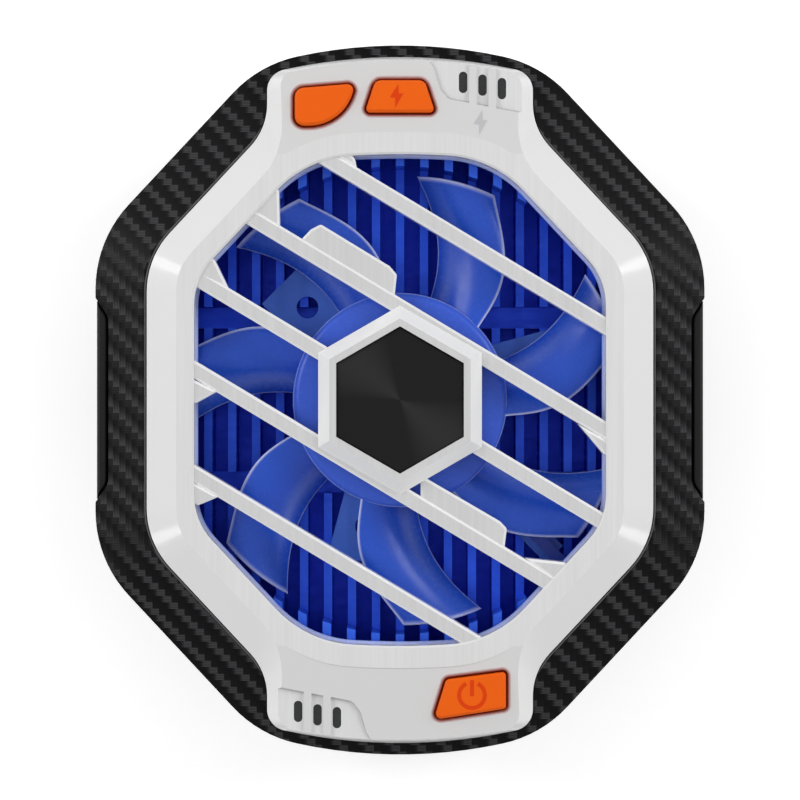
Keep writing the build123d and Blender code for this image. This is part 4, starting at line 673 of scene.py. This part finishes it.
def make_marks():
    """Lightning bolts on the tab and the middle button, and the power sign on the lower button."""
    red = plastic("red print", (212, 58, 4), (220, 66, 8), 0.5, **LITTLE_GLOSS)
    pale = plastic("grey print", (182, 182, 184), (188, 188, 190), 0.5)
    tab_bolt = np.array(BOLT) * FRAME_BOLT_HEIGHT + FRAME_BOLT
    slab("tab_bolt", tab_bolt, tab_height(tab_bolt), "frame_white", "housing", pale)
    on_boost = (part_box("boost_button")[1].z, "button_orange", "boost_button", red)
    slab("button_bolt", np.array(BOLT) * BUTTON_BOLT_HEIGHT + BUTTON_BOLT, *on_boost)
    on_power = (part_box("power_button")[1].z, "button_orange", "power_button", red)
    turn = np.radians(np.linspace(*POWER_ARC, POWER_POINTS))
    circle = np.stack([np.cos(turn), np.sin(turn)], -1) * POWER_RADIUS + POWER_MARK
    stroke("power_sign_ring", circle, POWER_STROKE, *on_power)
    bar = np.array([(0, height) for height in POWER_BAR]) + POWER_MARK
    stroke("power_sign_bar", bar, POWER_STROKE, *on_power)


def rim_of(button):
    """Outline of a button at the foot of its chamfer, its points in order round its middle."""
    points = np.array([vertex.co for vertex in nodes[button].data.vertices])
    level = points[:, 2].max() - BUTTON_CHAMFER
    rim = points[np.abs(points[:, 2] - level) < BUTTON_CHAMFER / 4, :2]
    rim = np.unique(np.round(rim, 6), axis=0)
    middle = (rim.max(0) + rim.min(0)) / 2
    return rim[np.argsort(np.arctan2(*(rim - middle).T[::-1]))]


def painted_bounce_plastic():
    """The tab's white with the button's red as a painted reflection: reddened next to the button and
    clear away from it.
    """
    made = Finish("red bounce on white", Specular_IOR_Level=0.2, Roughness=0.5)
    out = made.add("Attribute", attribute_name="out").outputs["Fac"]
    uneven = made.span(made.noise(900.0), 0.2, 0.8, 0.9, 1.0)
    # Painted reflection: the button's red, fading outwards to clear
    made.colour(made.mix(out, rgba(140, 34, 22), rgba(214, 150, 140)))
    fade = made.span(out, 0.0, 1.0, 0.95, 0.0)
    made.feed(made.shader.inputs["Alpha"], made.math("MULTIPLY", fade, uneven))
    return made


def make_painted_bounce(button, finish):
    """A thin ring on the tab that carries the painted reflection: the button's outline let out by
    its gap and the ring's width.
    """
    rim = rim_of(button)
    ahead, behind = np.roll(rim, -1, 0), np.roll(rim, 1, 0)
    along = ahead - behind
    along /= np.linalg.norm(along, axis=1, keepdims=True)
    outward = np.stack([along[:, 1], -along[:, 0]], -1)
    share = np.linspace(0, 1, GLOW_POINTS)[:, None, None]
    flat = rim + outward * (BUTTON_GAP + GLOW_WIDTH * share)
    height = tab_height(flat)[..., None] + MARK_RISE / 2
    points = np.concatenate([flat, height], -1)
    faces = grid_faces(len(share), len(rim), closed_columns=True)[:, ::-1].tolist()
    piece = new_piece(button + "_glow", points, faces, "frame_white", "housing", finish)
    store_share(piece, "out", np.broadcast_to(share[..., 0], flat.shape[:2]))


make_fan()
make_marks()
painted_bounce = painted_bounce_plastic()
for button in ("light_button", "boost_button", "power_button"):
    make_painted_bounce(button, painted_bounce)


def make_floor(half, height):
    """A flat square sheet of white paper that glows a little to the camera."""
    mesh = bpy.data.meshes.new("floor")
    corners = ((-half, -half), (half, -half), (half, half), (-half, half))
    mesh.from_pydata([(*corner, height) for corner in corners], [], [(0, 1, 2, 3)])
    made = bpy.data.objects.new("floor", mesh)
    bpy.context.scene.collection.objects.link(made)
    paper = Finish("paper floor", Roughness=0.9, Specular_IOR_Level=0.1)
    fibres = paper.noise(700.0, 4.0)
    paper.colour(paper.mix(fibres, rgba(249, 249, 249), rgba(253, 253, 253)))
    path = paper.add("LightPath").outputs
    seen = paper.math("MAXIMUM", path["Is Glossy Ray"], path["Is Transmission Ray"])
    seen = paper.math("MAXIMUM", path["Is Camera Ray"], seen)
    paper.shader.inputs["Emission Color"].default_value = (1, 1, 1, 1)
    paper.feed(paper.shader.inputs["Emission Strength"], paper.math("MULTIPLY", seen, FLOOR_LIFT))
    mesh.materials.append(paper.material)


def soft_lamp(name, place, target, size, watts):
    """A square area lamp at a place, turned to a target."""
    lamp = bpy.data.lights.new(name, "AREA")
    lamp.size = size
    lamp.energy = watts
    made = bpy.data.objects.new(name, lamp)
    made.location = place
    made.rotation_euler = (Vector(target) - Vector(place)).to_track_quat("-Z", "Y").to_euler()
    bpy.context.scene.collection.objects.link(made)


def make_world(horizon, waist, zenith):
    """Soft light, strongest from half way up; white to the camera, gloss and glass."""
    world = bpy.data.worlds.new("studio")
    world.use_nodes = True
    bpy.context.scene.world = world
    tree = world.node_tree
    background = tree.nodes["Background"]
    background.inputs[0].default_value = (1, 1, 1, 1)
    direction = tree.nodes.new("ShaderNodeSeparateXYZ")
    tree.links.new(tree.nodes.new("ShaderNodeTexCoord").outputs["Generated"], direction.inputs[0])
    dome = tree.nodes.new("ShaderNodeMath")
    dome.operation = "MINIMUM"
    low_part, high_part = (0.0, WAIST_HEIGHT, horizon, waist), (WAIST_HEIGHT, 1.0, waist, zenith)
    for socket, ends in enumerate((low_part, high_part)):
        slope = tree.nodes.new("ShaderNodeMapRange")
        for place, value in enumerate(ends, 1):
            slope.inputs[place].default_value = value
        tree.links.new(direction.outputs[2], slope.inputs[0])
        tree.links.new(slope.outputs[0], dome.inputs[socket])
    path = tree.nodes.new("ShaderNodeLightPath")
    seen = path.outputs["Is Camera Ray"]
    for ray in ("Is Glossy Ray", "Is Transmission Ray"):
        either = tree.nodes.new("ShaderNodeMath")
        either.operation = "MAXIMUM"
        tree.links.new(seen, either.inputs[0])
        tree.links.new(path.outputs[ray], either.inputs[1])
        seen = either.outputs[0]
    strength = tree.nodes.new("ShaderNodeMapRange")
    strength.inputs[4].default_value = 1.0
    tree.links.new(seen, strength.inputs[0])
    tree.links.new(dome.outputs[0], strength.inputs[3])
    tree.links.new(strength.outputs[0], background.inputs[1])


def make_camera():
    """Straight down over the middle, at the height that gives the photograph's perspective."""
    camera = bpy.data.cameras.new("camera")
    camera.sensor_width = SENSOR
    camera.lens = LENS
    made = bpy.data.objects.new("camera", camera)
    made.location = (0, 0, CAMERA_HEIGHT)
    bpy.context.scene.collection.objects.link(made)
    bpy.context.scene.camera = made


make_floor(FLOOR_HALF, cad_low.z)
make_world(*WORLD_LEVELS)
middle = (0, 0, (cad_low.z + cad_high.z) / 2)
for side, name in ((-1, "left light"), (1, "right light")):
    (x, y, z), size, watts = SIDE_LAMP
    soft_lamp(name, (side * x, y, z), middle, size, watts)
for side, end in itertools.product((-1, 1), repeat=2):
    (x, y, z), size, watts = CORNER_LAMP
    soft_lamp(f"corner light {side} {end}", (side * x, end * y, z), middle, size, watts)
make_camera()
bpy.context.scene.view_settings.view_transform = "Standard"
